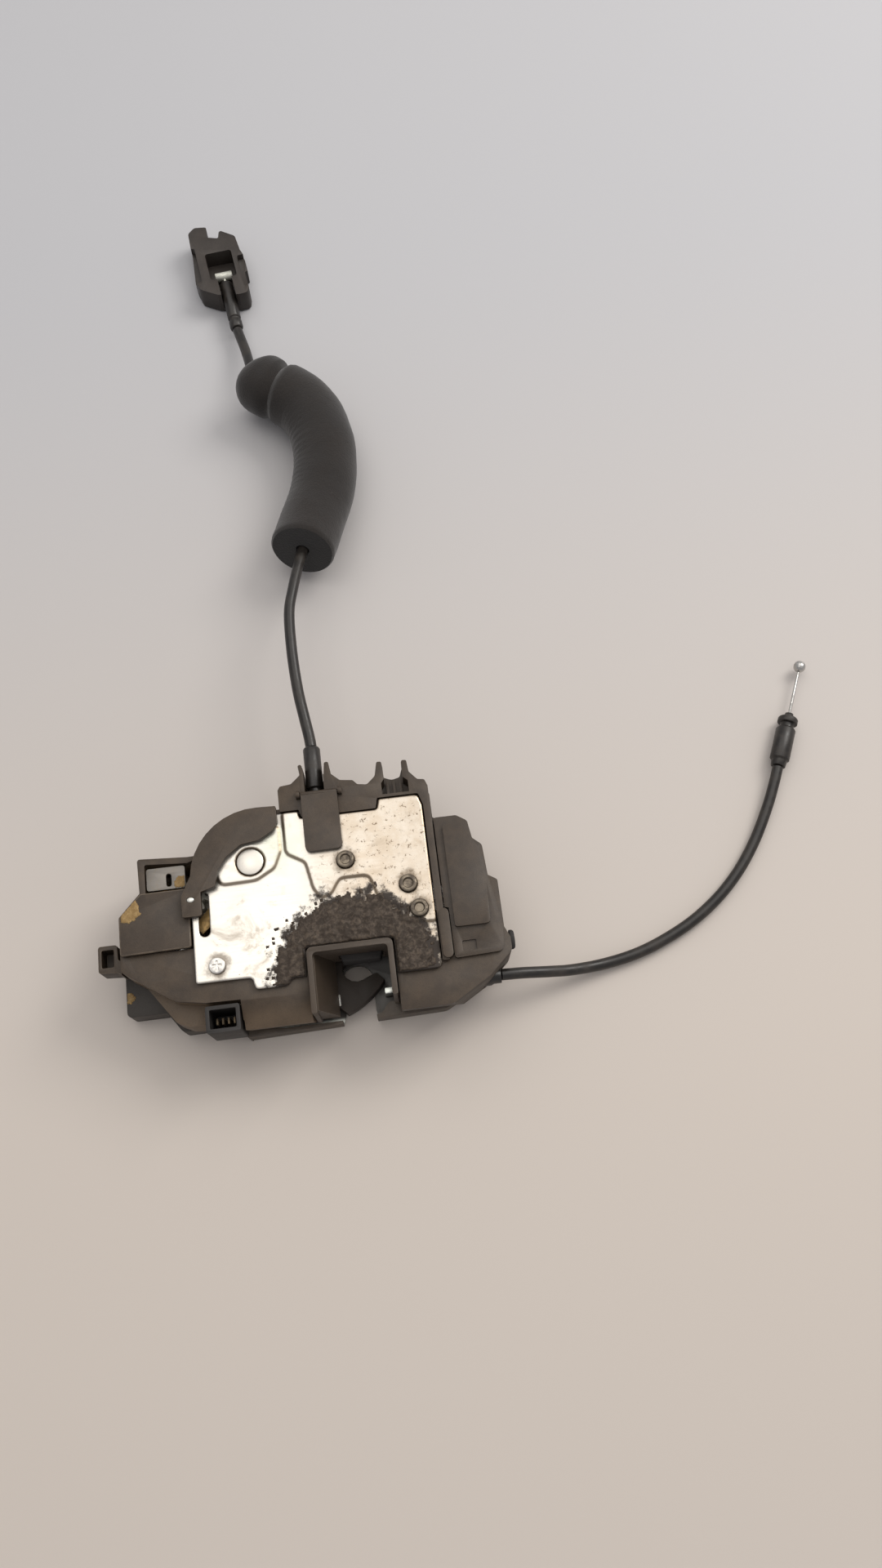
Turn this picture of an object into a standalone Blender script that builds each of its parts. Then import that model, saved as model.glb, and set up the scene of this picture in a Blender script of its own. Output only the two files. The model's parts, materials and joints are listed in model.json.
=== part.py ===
"""Vehicle door latch with an electric lock actuator and two Bowden cables.

The latch lies on its face plate. X runs along its length, +Y points away from the striker mouth, +Z is up,
and the origin is under the middle of the body. Every size below is in millimetres; MM turns it into metres.
"""

import math

import bmesh
import bpy
from mathutils import Matrix, Vector

MM = 0.001
GAP = 0.3

# Levels above the surface that the latch lies on
FACE_TOP = 2.0
CLAW_Z = (2.6, 9.6)
LOWER_TOP = 10.2
DECK_Z = (10.5, 12.5)
WALL_TOP = 32.0
PLATE_Z = (32.3, 33.8)
COVER_TOP = 34.0
RELEASE_Z = (14.2, 16.8)
INSIDE_Z = (27.6, 30.2)
LOCK_Z = (26.0, 28.8)
OVER_ALL = (-5.0, 60.0)

# Pivots, seen from above
CLAW_PIVOT = (0.0, -12.0)
PAWL_PIVOT = (42.5, -11.8)
RELEASE_PIVOT = (39.5, -2.1)
INSIDE_PIVOT = (17.4, 9.8)
LOCK_PIVOT = (-17.8, 13.4)
SCREW_AT = (-32.5, -23.9)
FACE_SCREWS = [(-19.0, -40.0), (45.0, -37.5), (-16.0, 6.0)]

# Striker mouth and claw
MOUTH_X = (0.0, 31.3)
MOUTH_TOP = -21.7
MOUTH_WALL = 2.0
MOUTH_RIM = 36.5
FRONT_Y = (-47.4, -45.6)
STRIKER_X = 16.0
SLOT_HALF = 5.3
CLAW_SEAT = (-0.44, -21.3)
CLAW_SLOT_DIR = (0.882, -0.471)
CAM_RADIUS = 17.0
NOTCH_RADIUS = 12.2
CAM_ANGLES = (8.0, 26.0)
CLAW_REACH = 33.0
CLAW_SWING = 50.0

# Pawl, drawn where it holds the claw and then lifted to its rest
PAWL_TIP_RADII = (13.2, 22.0)
PAWL_TIP_ANGLES = (30.0, 49.0)
PAWL_LIFT = 10.8
PAWL_STUD = (-18.5, 10.8)
STUD_RADIUS = 1.6

# Lock drive: worm, worm wheel with pinion, toothed lock lever
MODULE = 1.25
WHEEL_TEETH = 14
PINION_TEETH = 8
SECTOR_TEETH = 29
WORM_RADIUS = 4.0
WORM_Z = 20.5
MOTOR_X = -52.0
MOTOR_BOX = (16.0, 20.0, 15.0)
MOTOR_END_Y = -6.2

# Cables
CONDUIT = 4.4
WIRE = 1.2
BALL = 5.0
TOP_SOCKET = (8.5, 29.0)
FOAM_RADIUS = 13.5
FOAM_BORE = 4.0
FOAM_SPAN_Y = (149.0, 243.5)
CREASE_FROM_END = 13.0
FERRULE_START = (194.6, 35.4, 4.4)
FERRULE_ANGLE = 66.5
CLIP_START = (-8.0, 276.7, 6.0)
CLIP_ANGLE = 97.5
GLAND_AT = (70.0, -36.5, 14.5)

# Hand-chosen points of the two cable routes
INSIDE_ROUTE = [
    (8.5, 57.9, 29.0), (8.1, 62.5, 29.0), (7.0, 70.5, 28.9), (5.4, 83.3, 28.5), (4.5, 100.8, 27.7),
    (4.8, 118.2, 26.2), (7.0, 129.3, 24.6), (9.4, 138.8, 22.8), (12.3, 149.4, 20.2), (15.7, 159.6, 17.4),
    (19.2, 169.2, 15.4), (22.6, 178.6, 14.3), (25.3, 190.0, 14.2), (26.0, 202.0, 14.2), (24.4, 213.6, 14.2),
    (19.9, 223.8, 14.2), (13.0, 231.0, 14.2), (5.6, 235.9, 14.2), (0.2, 241.4, 13.8), (-2.6, 248.6, 12.4),
    (-3.9, 256.6, 10.4), (-5.2, 264.2, 8.2), (-6.6, 270.6, 6.7), (-7.95, 276.4, 6.0),
]
OUTSIDE_ROUTE = [
    (70.3, -36.5, 14.5), (78.5, -36.6, 13.4), (88.0, -36.8, 10.4), (98.0, -36.7, 6.8), (111.0, -35.4, 3.6),
    (124.4, -32.8, 2.6), (136.5, -28.6, 2.5), (149.0, -22.5, 2.5), (160.4, -14.6, 2.5), (170.6, -4.9, 2.5),
    (179.7, 6.9, 2.6), (187.2, 19.6, 3.3), (191.9, 29.2, 4.1), (194.45, 35.05, 4.4),
]


def clear_scene():
    for obj in list(bpy.data.objects):
        bpy.data.objects.remove(obj)


def make_material(name, colour, roughness, metallic=0.0):
    """A Principled material with one finish."""
    finish = bpy.data.materials.new(name)
    finish.use_nodes = True
    finish.diffuse_color = (*colour, 1.0)
    shader = finish.node_tree.nodes["Principled BSDF"]
    shader.inputs["Base Color"].default_value = (*colour, 1.0)
    shader.inputs["Roughness"].default_value = roughness
    shader.inputs["Metallic"].default_value = metallic
    return finish


def make_materials():
    return {
        "case": make_material("case_plastic", (0.052, 0.045, 0.038), 0.6),
        "cover": make_material("cover_plastic", (0.068, 0.06, 0.05), 0.58),
        "zinc": make_material("zinc_steel", (0.74, 0.72, 0.68), 0.38, 0.9),
        "yellow": make_material("yellow_steel", (0.55, 0.37, 0.12), 0.42, 0.85),
        "steel": make_material("bare_steel", (0.6, 0.59, 0.57), 0.35, 0.95),
        "coated": make_material("coated_steel", (0.035, 0.034, 0.033), 0.5),
        "spring": make_material("spring_steel", (0.4, 0.39, 0.37), 0.35, 0.95),
        "rubber": make_material("rubber", (0.025, 0.024, 0.023), 0.8),
        "foam": make_material("foam", (0.045, 0.045, 0.046), 0.95),
        "conduit": make_material("conduit_plastic", (0.016, 0.016, 0.016), 0.42),
        "gear": make_material("gear_plastic", (0.72, 0.7, 0.62), 0.5),
        "brass": make_material("brass", (0.72, 0.55, 0.25), 0.35, 0.95),
        "board": make_material("circuit_board", (0.05, 0.18, 0.09), 0.55),
    }


def arc(centre, radius, start, end, steps):
    """Points on an arc, in degrees, with both ends."""
    points = []
    for i in range(steps + 1):
        a = math.radians(start + (end - start) * i / steps)
        points.append((centre[0] + radius * math.cos(a), centre[1] + radius * math.sin(a)))
    return points


def circle(centre, radius, sides=24):
    return arc(centre, radius, 0.0, 360.0, sides)[:-1]


def polar(radius, degrees, centre=(0.0, 0.0)):
    a = math.radians(degrees)
    return (centre[0] + radius * math.cos(a), centre[1] + radius * math.sin(a))


def rounded(corners, degrees_a_step=24.0):
    """Outline from corners (x, y, radius), each round where its radius isn't 0."""
    points = []
    for i, (x, y, radius) in enumerate(corners):
        here = Vector((x, y))
        if radius == 0:
            points.append((x, y))
            continue
        before = (Vector(corners[i - 1][:2]) - here).normalized()
        after = (Vector(corners[(i + 1) % len(corners)][:2]) - here).normalized()
        half = before.angle(after) / 2
        middle = here + (before + after).normalized() * (radius / math.sin(half))
        start = here + before * (radius / math.tan(half)) - middle
        sweep = math.degrees(start.angle_signed(here + after * (radius / math.tan(half)) - middle))
        first = math.degrees(math.atan2(start.y, start.x))
        steps = max(2, math.ceil(abs(sweep) / degrees_a_step))
        points += arc(middle, radius, first, first - sweep, steps)
    return points


def box_outline(x, y, radius=0.0):
    """Rectangle from x = (low, high) and y = (low, high), with round corners."""
    return rounded([(x[0], y[0], radius), (x[1], y[0], radius), (x[1], y[1], radius), (x[0], y[1], radius)])


def from_bmesh(name, mesh, material=None):
    """Object in metres from a bmesh in millimetres."""
    bmesh.ops.recalc_face_normals(mesh, faces=mesh.faces)
    bmesh.ops.scale(mesh, vec=(MM, MM, MM), verts=mesh.verts)
    data = bpy.data.meshes.new(name)
    mesh.to_mesh(data)
    mesh.free()
    obj = bpy.data.objects.new(name, data)
    bpy.context.scene.collection.objects.link(obj)
    if material:
        data.materials.append(material)
    return obj


UPRIGHT = Matrix.Identity(4)
ALONG_Y = Matrix(((1, 0, 0, 0), (0, 0, 1, 0), (0, 1, 0, 0), (0, 0, 0, 1)))
ALONG_X = Matrix(((0, 0, 1, 0), (1, 0, 0, 0), (0, 1, 0, 0), (0, 0, 0, 1)))


def prism(name, outline, levels, material=None, frame=UPRIGHT):
    """Extrudes an outline between two levels. ALONG_Y takes (x, z) points, ALONG_X takes (y, z) points."""
    mesh = bmesh.new()
    base = mesh.faces.new([mesh.verts.new((x, y, levels[0])) for x, y in outline])
    top = bmesh.ops.extrude_face_region(mesh, geom=[base])["geom"]
    moved = [v for v in top if isinstance(v, bmesh.types.BMVert)]
    bmesh.ops.translate(mesh, vec=(0, 0, levels[1] - levels[0]), verts=moved)
    bmesh.ops.transform(mesh, matrix=frame, verts=mesh.verts)
    return from_bmesh(name, mesh, material)


def cylinder(name, centre, radius, levels, material=None, sides=24):
    return prism(name, circle(centre, radius, sides), levels, material)


def turned(name, profile, frame, material=None, sides=20):
    """Spins a profile of (radius, height) points about the frame's Z axis."""
    mesh = bmesh.new()
    verts = [mesh.verts.new((radius, 0, height)) for radius, height in profile]
    edges = [mesh.edges.new(pair) for pair in zip(verts, verts[1:])]
    whole_turn = {"cent": (0, 0, 0), "axis": (0, 0, 1), "angle": 2 * math.pi}
    bmesh.ops.spin(mesh, geom=verts + edges, steps=sides, use_merge=True, **whole_turn)
    bmesh.ops.remove_doubles(mesh, verts=mesh.verts, dist=1e-4)
    bmesh.ops.transform(mesh, matrix=frame, verts=mesh.verts)
    obj = from_bmesh(name, mesh, material)
    obj.data.shade_smooth()
    obj.data.set_sharp_from_angle(angle=math.radians(35))
    return obj


def at(x, y, z=0.0):
    return Matrix.Translation((x, y, z))


def pointing(start, degrees):
    """Frame at start whose Z axis lies flat and points along an angle seen from above."""
    a = math.radians(degrees)
    turn = Vector((math.cos(a), math.sin(a), 0)).to_track_quat("Z", "Y").to_matrix().to_4x4()
    return Matrix.Translation(start) @ turn


def combine(target, others, operation):
    """Applies Booleans to target and removes the other objects."""
    for other in others:
        step = target.modifiers.new(operation.lower(), "BOOLEAN")
        step.operation = operation
        step.solver = "EXACT"
        step.object = other
    graph = bpy.context.evaluated_depsgraph_get()
    shaped = bpy.data.meshes.new_from_object(target.evaluated_get(graph))
    target.modifiers.clear()
    target.data = shaped
    shaped.name = target.name
    for other in others:
        bpy.data.objects.remove(other)
    return target


def cut(target, *cutters):
    return combine(target, cutters, "DIFFERENCE")


def fuse(target, *others):
    return combine(target, others, "UNION")


def pivot_on(obj, point):
    """Puts the object's origin on its joint's axis without moving its shape."""
    place = Vector(point) * MM
    obj.data.transform(Matrix.Translation(-place))
    obj.location = place
    return obj


def smooth_route(points, spacing):
    """Points at an even spacing on a smooth curve through the route's own points."""
    route = [Vector(p) for p in points]
    route = [2 * route[0] - route[1], *route, 2 * route[-1] - route[-2]]
    dense = []
    for a, b, c, d in zip(route, route[1:], route[2:], route[3:]):
        for i in range(12):
            t = i / 12
            bend = (2 * a - 5 * b + 4 * c - d) * t**2 + (3 * b - a - 3 * c + d) * t**3
            dense.append(b + 0.5 * ((c - a) * t + bend))
    dense.append(route[-2])
    lengths = [0.0]
    for a, b in zip(dense, dense[1:]):
        lengths.append(lengths[-1] + (b - a).length)
    count = max(2, round(lengths[-1] / spacing))
    even = []
    j = 0
    for i in range(count + 1):
        want = lengths[-1] * i / count
        while j < len(lengths) - 2 and lengths[j + 1] < want:
            j += 1
        share = (want - lengths[j]) / (lengths[j + 1] - lengths[j])
        even.append(dense[j].lerp(dense[j + 1], share))
    return even


def tube(name, points, diameter, material, sides_setting=2):
    """Round tube on a polyline, with closed ends."""
    curve = bpy.data.curves.new(name, "CURVE")
    curve.dimensions = "3D"
    curve.bevel_depth = diameter / 2 * MM
    curve.bevel_resolution = sides_setting
    curve.use_fill_caps = True
    spline = curve.splines.new("POLY")
    spline.points.add(len(points) - 1)
    for knot, point in zip(spline.points, points):
        knot.co = (*(Vector(point) * MM), 1.0)
    curve.materials.append(material)
    obj = bpy.data.objects.new(name, curve)
    bpy.context.scene.collection.objects.link(obj)
    return obj


def least_gap(points, wire, apart):
    """Least clear distance between places on a wire that are at least this many points apart."""
    return min((a - b).length for i, a in enumerate(points) for b in points[i + apart:]) - wire


def torsion_spring(name, centre, bottom, radius, turns, legs, material):
    """Wire coil with a straight leg at each end, each leg given as a length away from the coil."""
    wire, pitch, steps = 1.1, 1.75, 14
    total = int(turns * steps)
    points = []
    for i in range(total + 1):
        a = math.radians(360 * i / steps)
        height = bottom + pitch * i / steps
        points.append(Vector((centre[0] + radius * math.cos(a), centre[1] + radius * math.sin(a), height)))
    first = (points[0] - points[1]).normalized()
    last = (points[-1] - points[-2]).normalized()
    first.z = last.z = 0
    points.insert(0, points[0] + first * legs[0])
    points.append(points[-1] + last * legs[1])
    print(f"{name}: least gap to itself {least_gap(points, wire, steps // 2):.2f} mm")
    return tube(name, points, wire, material, 1)


def upper_outline():
    """Outline of the upper case, from its lower left corner round by the mouth."""
    left, right = MOUTH_X[0] - 0.5, MOUTH_X[1] + 0.5
    bottom = [
        (-50.0, -40.8, 3.0), (-45.5, -42.8, 1.5), (-25.0, -43.4, 0.5), (-25.0, -47.6, 1.0),
        (left, -47.6, 0.6), (left, MOUTH_TOP + 0.4, 0.0), (right, MOUTH_TOP + 0.4, 0.0), (right, -47.6, 0.6),
        (50.5, -47.6, 4.0), (57.0, -43.8, 2.0), (65.0, -39.2, 2.0), (74.3, -30.8, 2.5),
    ]
    side = [
        (74.3, -26.0, 1.0), (72.5, -22.0, 1.0), (72.5, -4.0, 1.0), (69.2, -2.0, 0.8), (68.6, 10.0, 1.5),
        (65.3, 13.0, 1.5), (64.3, 20.0, 1.5), (60.5, 22.5, 1.5), (51.5, 22.5, 0.8), (51.5, 33.0, 1.0),
    ]
    left_end = [
        (-41.2, 18.9, 0.0), (-60.0, 20.2, 1.0), (-59.6, 7.0, 0.5), (-67.6, -1.3, 1.0), (-67.6, -21.5, 1.5),
        (-60.7, -26.0, 1.5),
    ]
    arch = [(x, y, 0.0) for x, y in arc((-14.5, 8.0), 25.3, 85.0, 154.0, 7)]
    return rounded(bottom + side + arch + left_end)


def cavity_outline():
    """The hollow of the upper case that the back plate and the covers close."""
    left, right = MOUTH_X[0] - 2.7, MOUTH_X[1] + 2.7
    near = [
        (-38.5, -27.5, 1.0), (left, -27.5, 1.0), (left, MOUTH_TOP + 2.7, 0.5), (right, MOUTH_TOP + 2.7, 0.5),
        (right, -32.0, 1.0), (54.0, -30.0, 1.0), (68.0, -28.5, 2.0), (70.0, -20.0, 1.0),
    ]
    far = [
        (70.0, -5.5, 1.0), (66.9, -3.5, 0.5), (66.2, 9.0, 1.5), (62.0, 19.0, 1.5), (49.0, 20.2, 0.5),
        (49.0, 30.5, 1.0),
    ]
    arch = [(x, y, 0.0) for x, y in arc((-14.5, 8.0), 23.0, 78.0, 152.0, 7)]
    left_end = [
        (-41.5, 16.6, 0.0), (-57.4, 17.8, 0.8), (-57.4, 5.6, 0.5), (-65.3, -2.3, 0.8), (-65.3, -16.0, 0.8),
        (-38.5, -16.0, 0.5),
    ]
    return rounded(near + far + arch + left_end)


def stadium(a, b, radius):
    """Outline round two points."""
    heading = math.degrees(math.atan2(b[1] - a[1], b[0] - a[0]))
    return arc(b, radius, heading - 90, heading + 90, 8) + arc(a, radius, heading + 90, heading + 270, 8)


def turn_about(point, centre, degrees):
    offset = Matrix.Rotation(math.radians(degrees), 2) @ (Vector(point) - Vector(centre))
    return (centre[0] + offset.x, centre[1] + offset.y)


def stud_at(lift):
    """Where the pawl's stud stands when the pawl is lifted this far from holding the claw."""
    held = (PAWL_PIVOT[0] + PAWL_STUD[0], PAWL_PIVOT[1] + PAWL_STUD[1])
    return turn_about(held, PAWL_PIVOT, -lift)


def wheel_centre():
    """Worm wheel beside the worm, at the right distance from the lock lever."""
    distance = MODULE * (PINION_TEETH + SECTOR_TEETH) / 2
    x = MOTOR_X + WORM_RADIUS + MODULE * WHEEL_TEETH / 2
    return (x, LOCK_PIVOT[1] - math.sqrt(distance**2 - (LOCK_PIVOT[0] - x) ** 2))


def make_face_plate(m):
    """Steel plate against the door, with the flared striker slot and three screw holes."""
    corners = [
        (-25.5, -46.6, 3.0), (9.0, -46.1, 0.8), (STRIKER_X - 5.8, -42.0, 4.0), (STRIKER_X - 5.8, -24.0, 5.0),
        (STRIKER_X + 5.8, -24.0, 5.0), (STRIKER_X + 5.8, -42.0, 4.0), (22.6, -45.7, 0.8), (46.0, -45.0, 4.0),
        (56.5, -39.4, 4.0), (56.5, 13.5, 5.0), (-25.5, 13.5, 5.0),
    ]
    plate = prism("face_plate", rounded(corners), (0.0, FACE_TOP), m["zinc"])
    fuse(plate, prism("tab", box_outline((26.0, 30.0), (-37.6, -35.4), 0.4), (FACE_TOP - 0.5, 11.5)))
    holes = [cylinder("pin_hole", place, 2.8, OVER_ALL) for place in (CLAW_PIVOT, PAWL_PIVOT)]
    holes += [cylinder("screw_hole", place, 2.6, OVER_ALL) for place in FACE_SCREWS]
    return cut(plate, *holes)


def make_lower_case(m):
    """Plastic frame round the claw and the pawl, with the recess that the face plate lies in."""
    corners = [
        (-71.0, -34.5, 2.0), (-56.0, -34.5, 1.0), (-50.5, -42.2, 2.0), (-27.0, -42.2, 1.0),
        (-27.0, FRONT_Y[0], 1.0), (48.5, FRONT_Y[1], 4.0), (57.5, -41.0, 3.0), (66.0, -35.4, 3.0),
        (73.0, -29.4, 3.0), (71.5, -4.0, 2.0), (67.5, 9.5, 2.0),
        (63.0, 20.0, 3.0), (50.5, 22.0, 2.0), (50.5, 32.0, 3.0), (-14.0, 32.6, 6.0), (-37.5, 19.0, 6.0),
        (-59.2, 19.4, 1.5), (-59.2, 6.6, 1.0), (-67.0, -1.5, 1.5), (-71.0, -12.0, 2.0),
    ]
    case = prism("lower_case", rounded(corners), (0.0, LOWER_TOP), m["case"])
    recess = prism("recess", box_outline((-25.9, 56.9), (-60.0, 13.9), 4.6), (-1.0, FACE_TOP + GAP))
    room = rounded([
        (-22.5, -44.6, 4.0), (-12.0, -45.4, 3.0), (12.0, -45.4, 0.0), (24.0, -44.4, 2.0), (27.0, -40.5, 2.0),
        (51.0, -40.5, 4.0), (51.0, 13.0, 4.0), (-22.5, 13.0, 4.0),
    ])
    claw_room = prism("claw_room", room, OVER_ALL)
    mouth = prism("mouth", [(9.2, -44.0), (8.4, -60.0), (22.8, -60.0), (22.0, -44.0)], OVER_ALL)
    hollows = [
        prism("hollow", box_outline((-64.0, -29.0), (-29.0, 3.0), 2.0), (-1.0, 7.5)),
        prism("hollow", box_outline((-30.0, 46.0), (18.0, 28.0), 2.0), (-1.0, 7.5)),
    ]
    return cut(case, recess, claw_room, mouth, *hollows)


def make_upper_case(m):
    """Main plastic case: deck, walls, bottom ledge, bosses and ribs."""
    case = prism("upper_case", upper_outline(), (DECK_Z[0], WALL_TOP), m["case"])
    width, length, height = MOTOR_BOX
    room_x = (MOTOR_X - width / 2 - 0.6, MOTOR_X + width / 2 + 0.6)
    motor_room = box_outline(room_x, (MOTOR_END_Y - length - 0.6, -15.0))
    ledge = [
        (-80.0, -26.0), (-61.2, -26.0), (-48.6, -34.4), (-38.0, -36.3), (-25.3, -36.6), (-25.3, -60.0),
        (-80.0, -60.0),
    ]
    slope = [(-37.0, WALL_TOP + 0.2), (-60.0, 18.0), (-60.0, 60.0), (-37.0, 60.0)]
    drafted = [(-60.0, 30.6), (-47.45, 30.6), (-44.9, 10.0), (-60.0, 10.0)]
    cutters = [
        prism("hollow", cavity_outline(), (DECK_Z[1], OVER_ALL[1])),
        prism("drafted_front", drafted, (-25.4, 80.0), frame=ALONG_X),
        prism("motor_room", motor_room, (DECK_Z[1], DECK_Z[1] + height + 1.4)),
        prism("connector_notch", box_outline((-38.8, -25.6), (-60.0, -37.2)), (11.8, OVER_ALL[1])),
        prism("gland_hole", circle((GLAND_AT[1], GLAND_AT[2]), 3.9), (57.0, 80.0), frame=ALONG_X),
        prism("stud_slot", stadium(stud_at(-1.0), stud_at(PAWL_LIFT + 7.0), 2.3), (0.0, 14.0)),
        prism("plug_hole", circle((-25.0, 21.0), 2.3, 16), (69.0, 80.0), frame=ALONG_X),
        prism("low_ledge", ledge, (24.0, 60.0)),
        prism("slope", slope, (-25.4, MOUTH_X[0] - 0.3), frame=ALONG_X),
    ]
    cutters += [cylinder("hole", place, 2.9, (0.0, 20.0)) for place in (CLAW_PIVOT, PAWL_PIVOT)]
    cut(case, *cutters)
    floor = DECK_Z[1] - 0.5
    boss = cylinder("boss", SCREW_AT, 4.1, (floor, WALL_TOP))
    cut(boss, cylinder("hole", SCREW_AT, 1.9, (20.0, 40.0), sides=12))
    ribs = [
        prism("rib", box_outline((53.0, 67.0), (-29.0, -27.0)), (floor, 19.7)),
        prism("rib", box_outline((53.0, 67.0), (-14.6, -13.0)), (floor, 19.7)),
        prism("rib", box_outline((-62.0, -41.0), (-5.2, -3.8)), (floor, 16.5)),
    ]
    return fuse(case, boss, *ribs)


def make_back_plate(m):
    """Zinc plated plate with pressed up areas, a lever slot and holes for the pins."""
    left, right = MOUTH_X[0] - 0.6, MOUTH_X[1] + 0.6
    corners = [
        (-40.7, -29.5, 1.0), (-20.4, -29.7, 1.0), (-19.4, -34.0, 1.5), (-7.5, -34.0, 2.0), (-6.0, -31.5, 1.0),
        (left, -31.5, 0.0), (left, MOUTH_TOP + 0.5, 0.0), (right, MOUTH_TOP + 0.5, 0.0), (right, -34.4, 0.0),
        (48.2, -34.4, 2.0), (48.2, 27.8, 1.0), (46.9, 32.0, 1.5), (32.0, 32.0, 0.5), (31.0, 28.0, 0.5),
        (2.1, 28.0, 0.5), (1.3, 31.0, 0.5),
    ]
    arch = [(x, y, 0.0) for x, y in arc((-14.5, 8.0), 23.6, 76.0, 178.0, 9)]
    outline = rounded(corners + arch + [(-40.7, 6.0, 0.0)])
    raised_z = (PLATE_Z[0] + 0.4, PLATE_Z[1] + 0.7)
    plate = prism("back_plate", outline, (PLATE_Z[0], raised_z[1]), m["zinc"])
    lower_area = [
        (-4.4, 60.0, 0.0), (-4.4, 15.0, 3.0), (2.6, 10.8, 3.0), (4.6, 0.5, 2.0), (7.2, -3.6, 1.6),
        (11.0, -2.2, 1.6),
        (14.6, 3.3, 3.0), (25.5, 3.1, 3.0), (28.2, -6.0, 3.0), (35.0, -10.0, 2.0), (36.0, -16.4, 1.5),
        (60.0, -17.6, 0.0), (60.0, -60.0, 0.0), (-60.0, -60.0, 0.0), (-60.0, 60.0, 0.0),
    ]
    lobe = [
        (-29.0, 6.0, 2.0), (-16.0, 6.2, 3.0), (-9.0, 10.0, 3.0), (-6.4, 16.0, 2.0), (-6.4, 26.0, 2.0),
        (-14.0, 28.0, 6.0), (-27.0, 22.0, 6.0), (-32.0, 12.0, 4.0),
    ]
    cut(plate, prism("lower_area", rounded(lower_area), (PLATE_Z[1], OVER_ALL[1])))
    fuse(plate, prism("lobe", rounded(lobe), raised_z))
    holes = [(PAWL_PIVOT, 2.9), (RELEASE_PIVOT, 2.9), (INSIDE_PIVOT, 2.9), (LOCK_PIVOT, 5.3), (SCREW_AT, 1.9)]
    cutters = [cylinder("hole", place, radius, OVER_ALL) for place, radius in holes]
    cutters.append(prism("slot", stadium((-36.2, -10.5), (-36.2, 2.2), 2.0), OVER_ALL))
    return cut(plate, *cutters)


def make_covers(m):
    """Motor cover on the left and switch cover on the right."""
    low = WALL_TOP + GAP
    motor_corners = [
        (-67.3, -16.2, 1.0), (-41.3, -15.8, 1.0), (-41.3, 6.4, 1.0), (-59.0, 6.4, 1.0), (-67.3, -1.7, 1.0),
    ]
    motor_cover = prism("motor_cover", rounded(motor_corners), (low, COVER_TOP), m["cover"])
    outer = [
        (53.2, -31.6, 1.0), (71.0, -31.0, 2.0), (72.2, -21.8, 1.0), (72.2, -4.2, 1.0), (69.0, -2.2, 0.8),
        (68.4, 9.8, 1.5), (65.0, 12.8, 1.5), (64.0, 19.8, 1.5), (60.3, 22.2, 1.5), (51.7, 22.2, 1.0),
        (51.7, -12.4, 0.0), (53.2, -12.8, 0.0),
    ]
    panel = [
        (54.6, -20.5, 1.0), (67.6, -20.5, 1.5), (68.2, -4.8, 1.5), (66.6, 9.2, 2.0), (61.8, 18.6, 2.0),
        (54.6, 18.6, 1.0),
    ]
    switch_cover = prism("switch_cover", rounded(outer), (low, COVER_TOP - 0.6), m["cover"])
    fuse(switch_cover, prism("panel", rounded(panel), (COVER_TOP - 1.0, COVER_TOP + 1.0)))
    snap = prism("snap", box_outline((56.4, 61.6), (-29.4, -25.6), 0.5), (COVER_TOP - 1.4, 60.0))
    return [motor_cover, cut(switch_cover, snap)]


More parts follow.
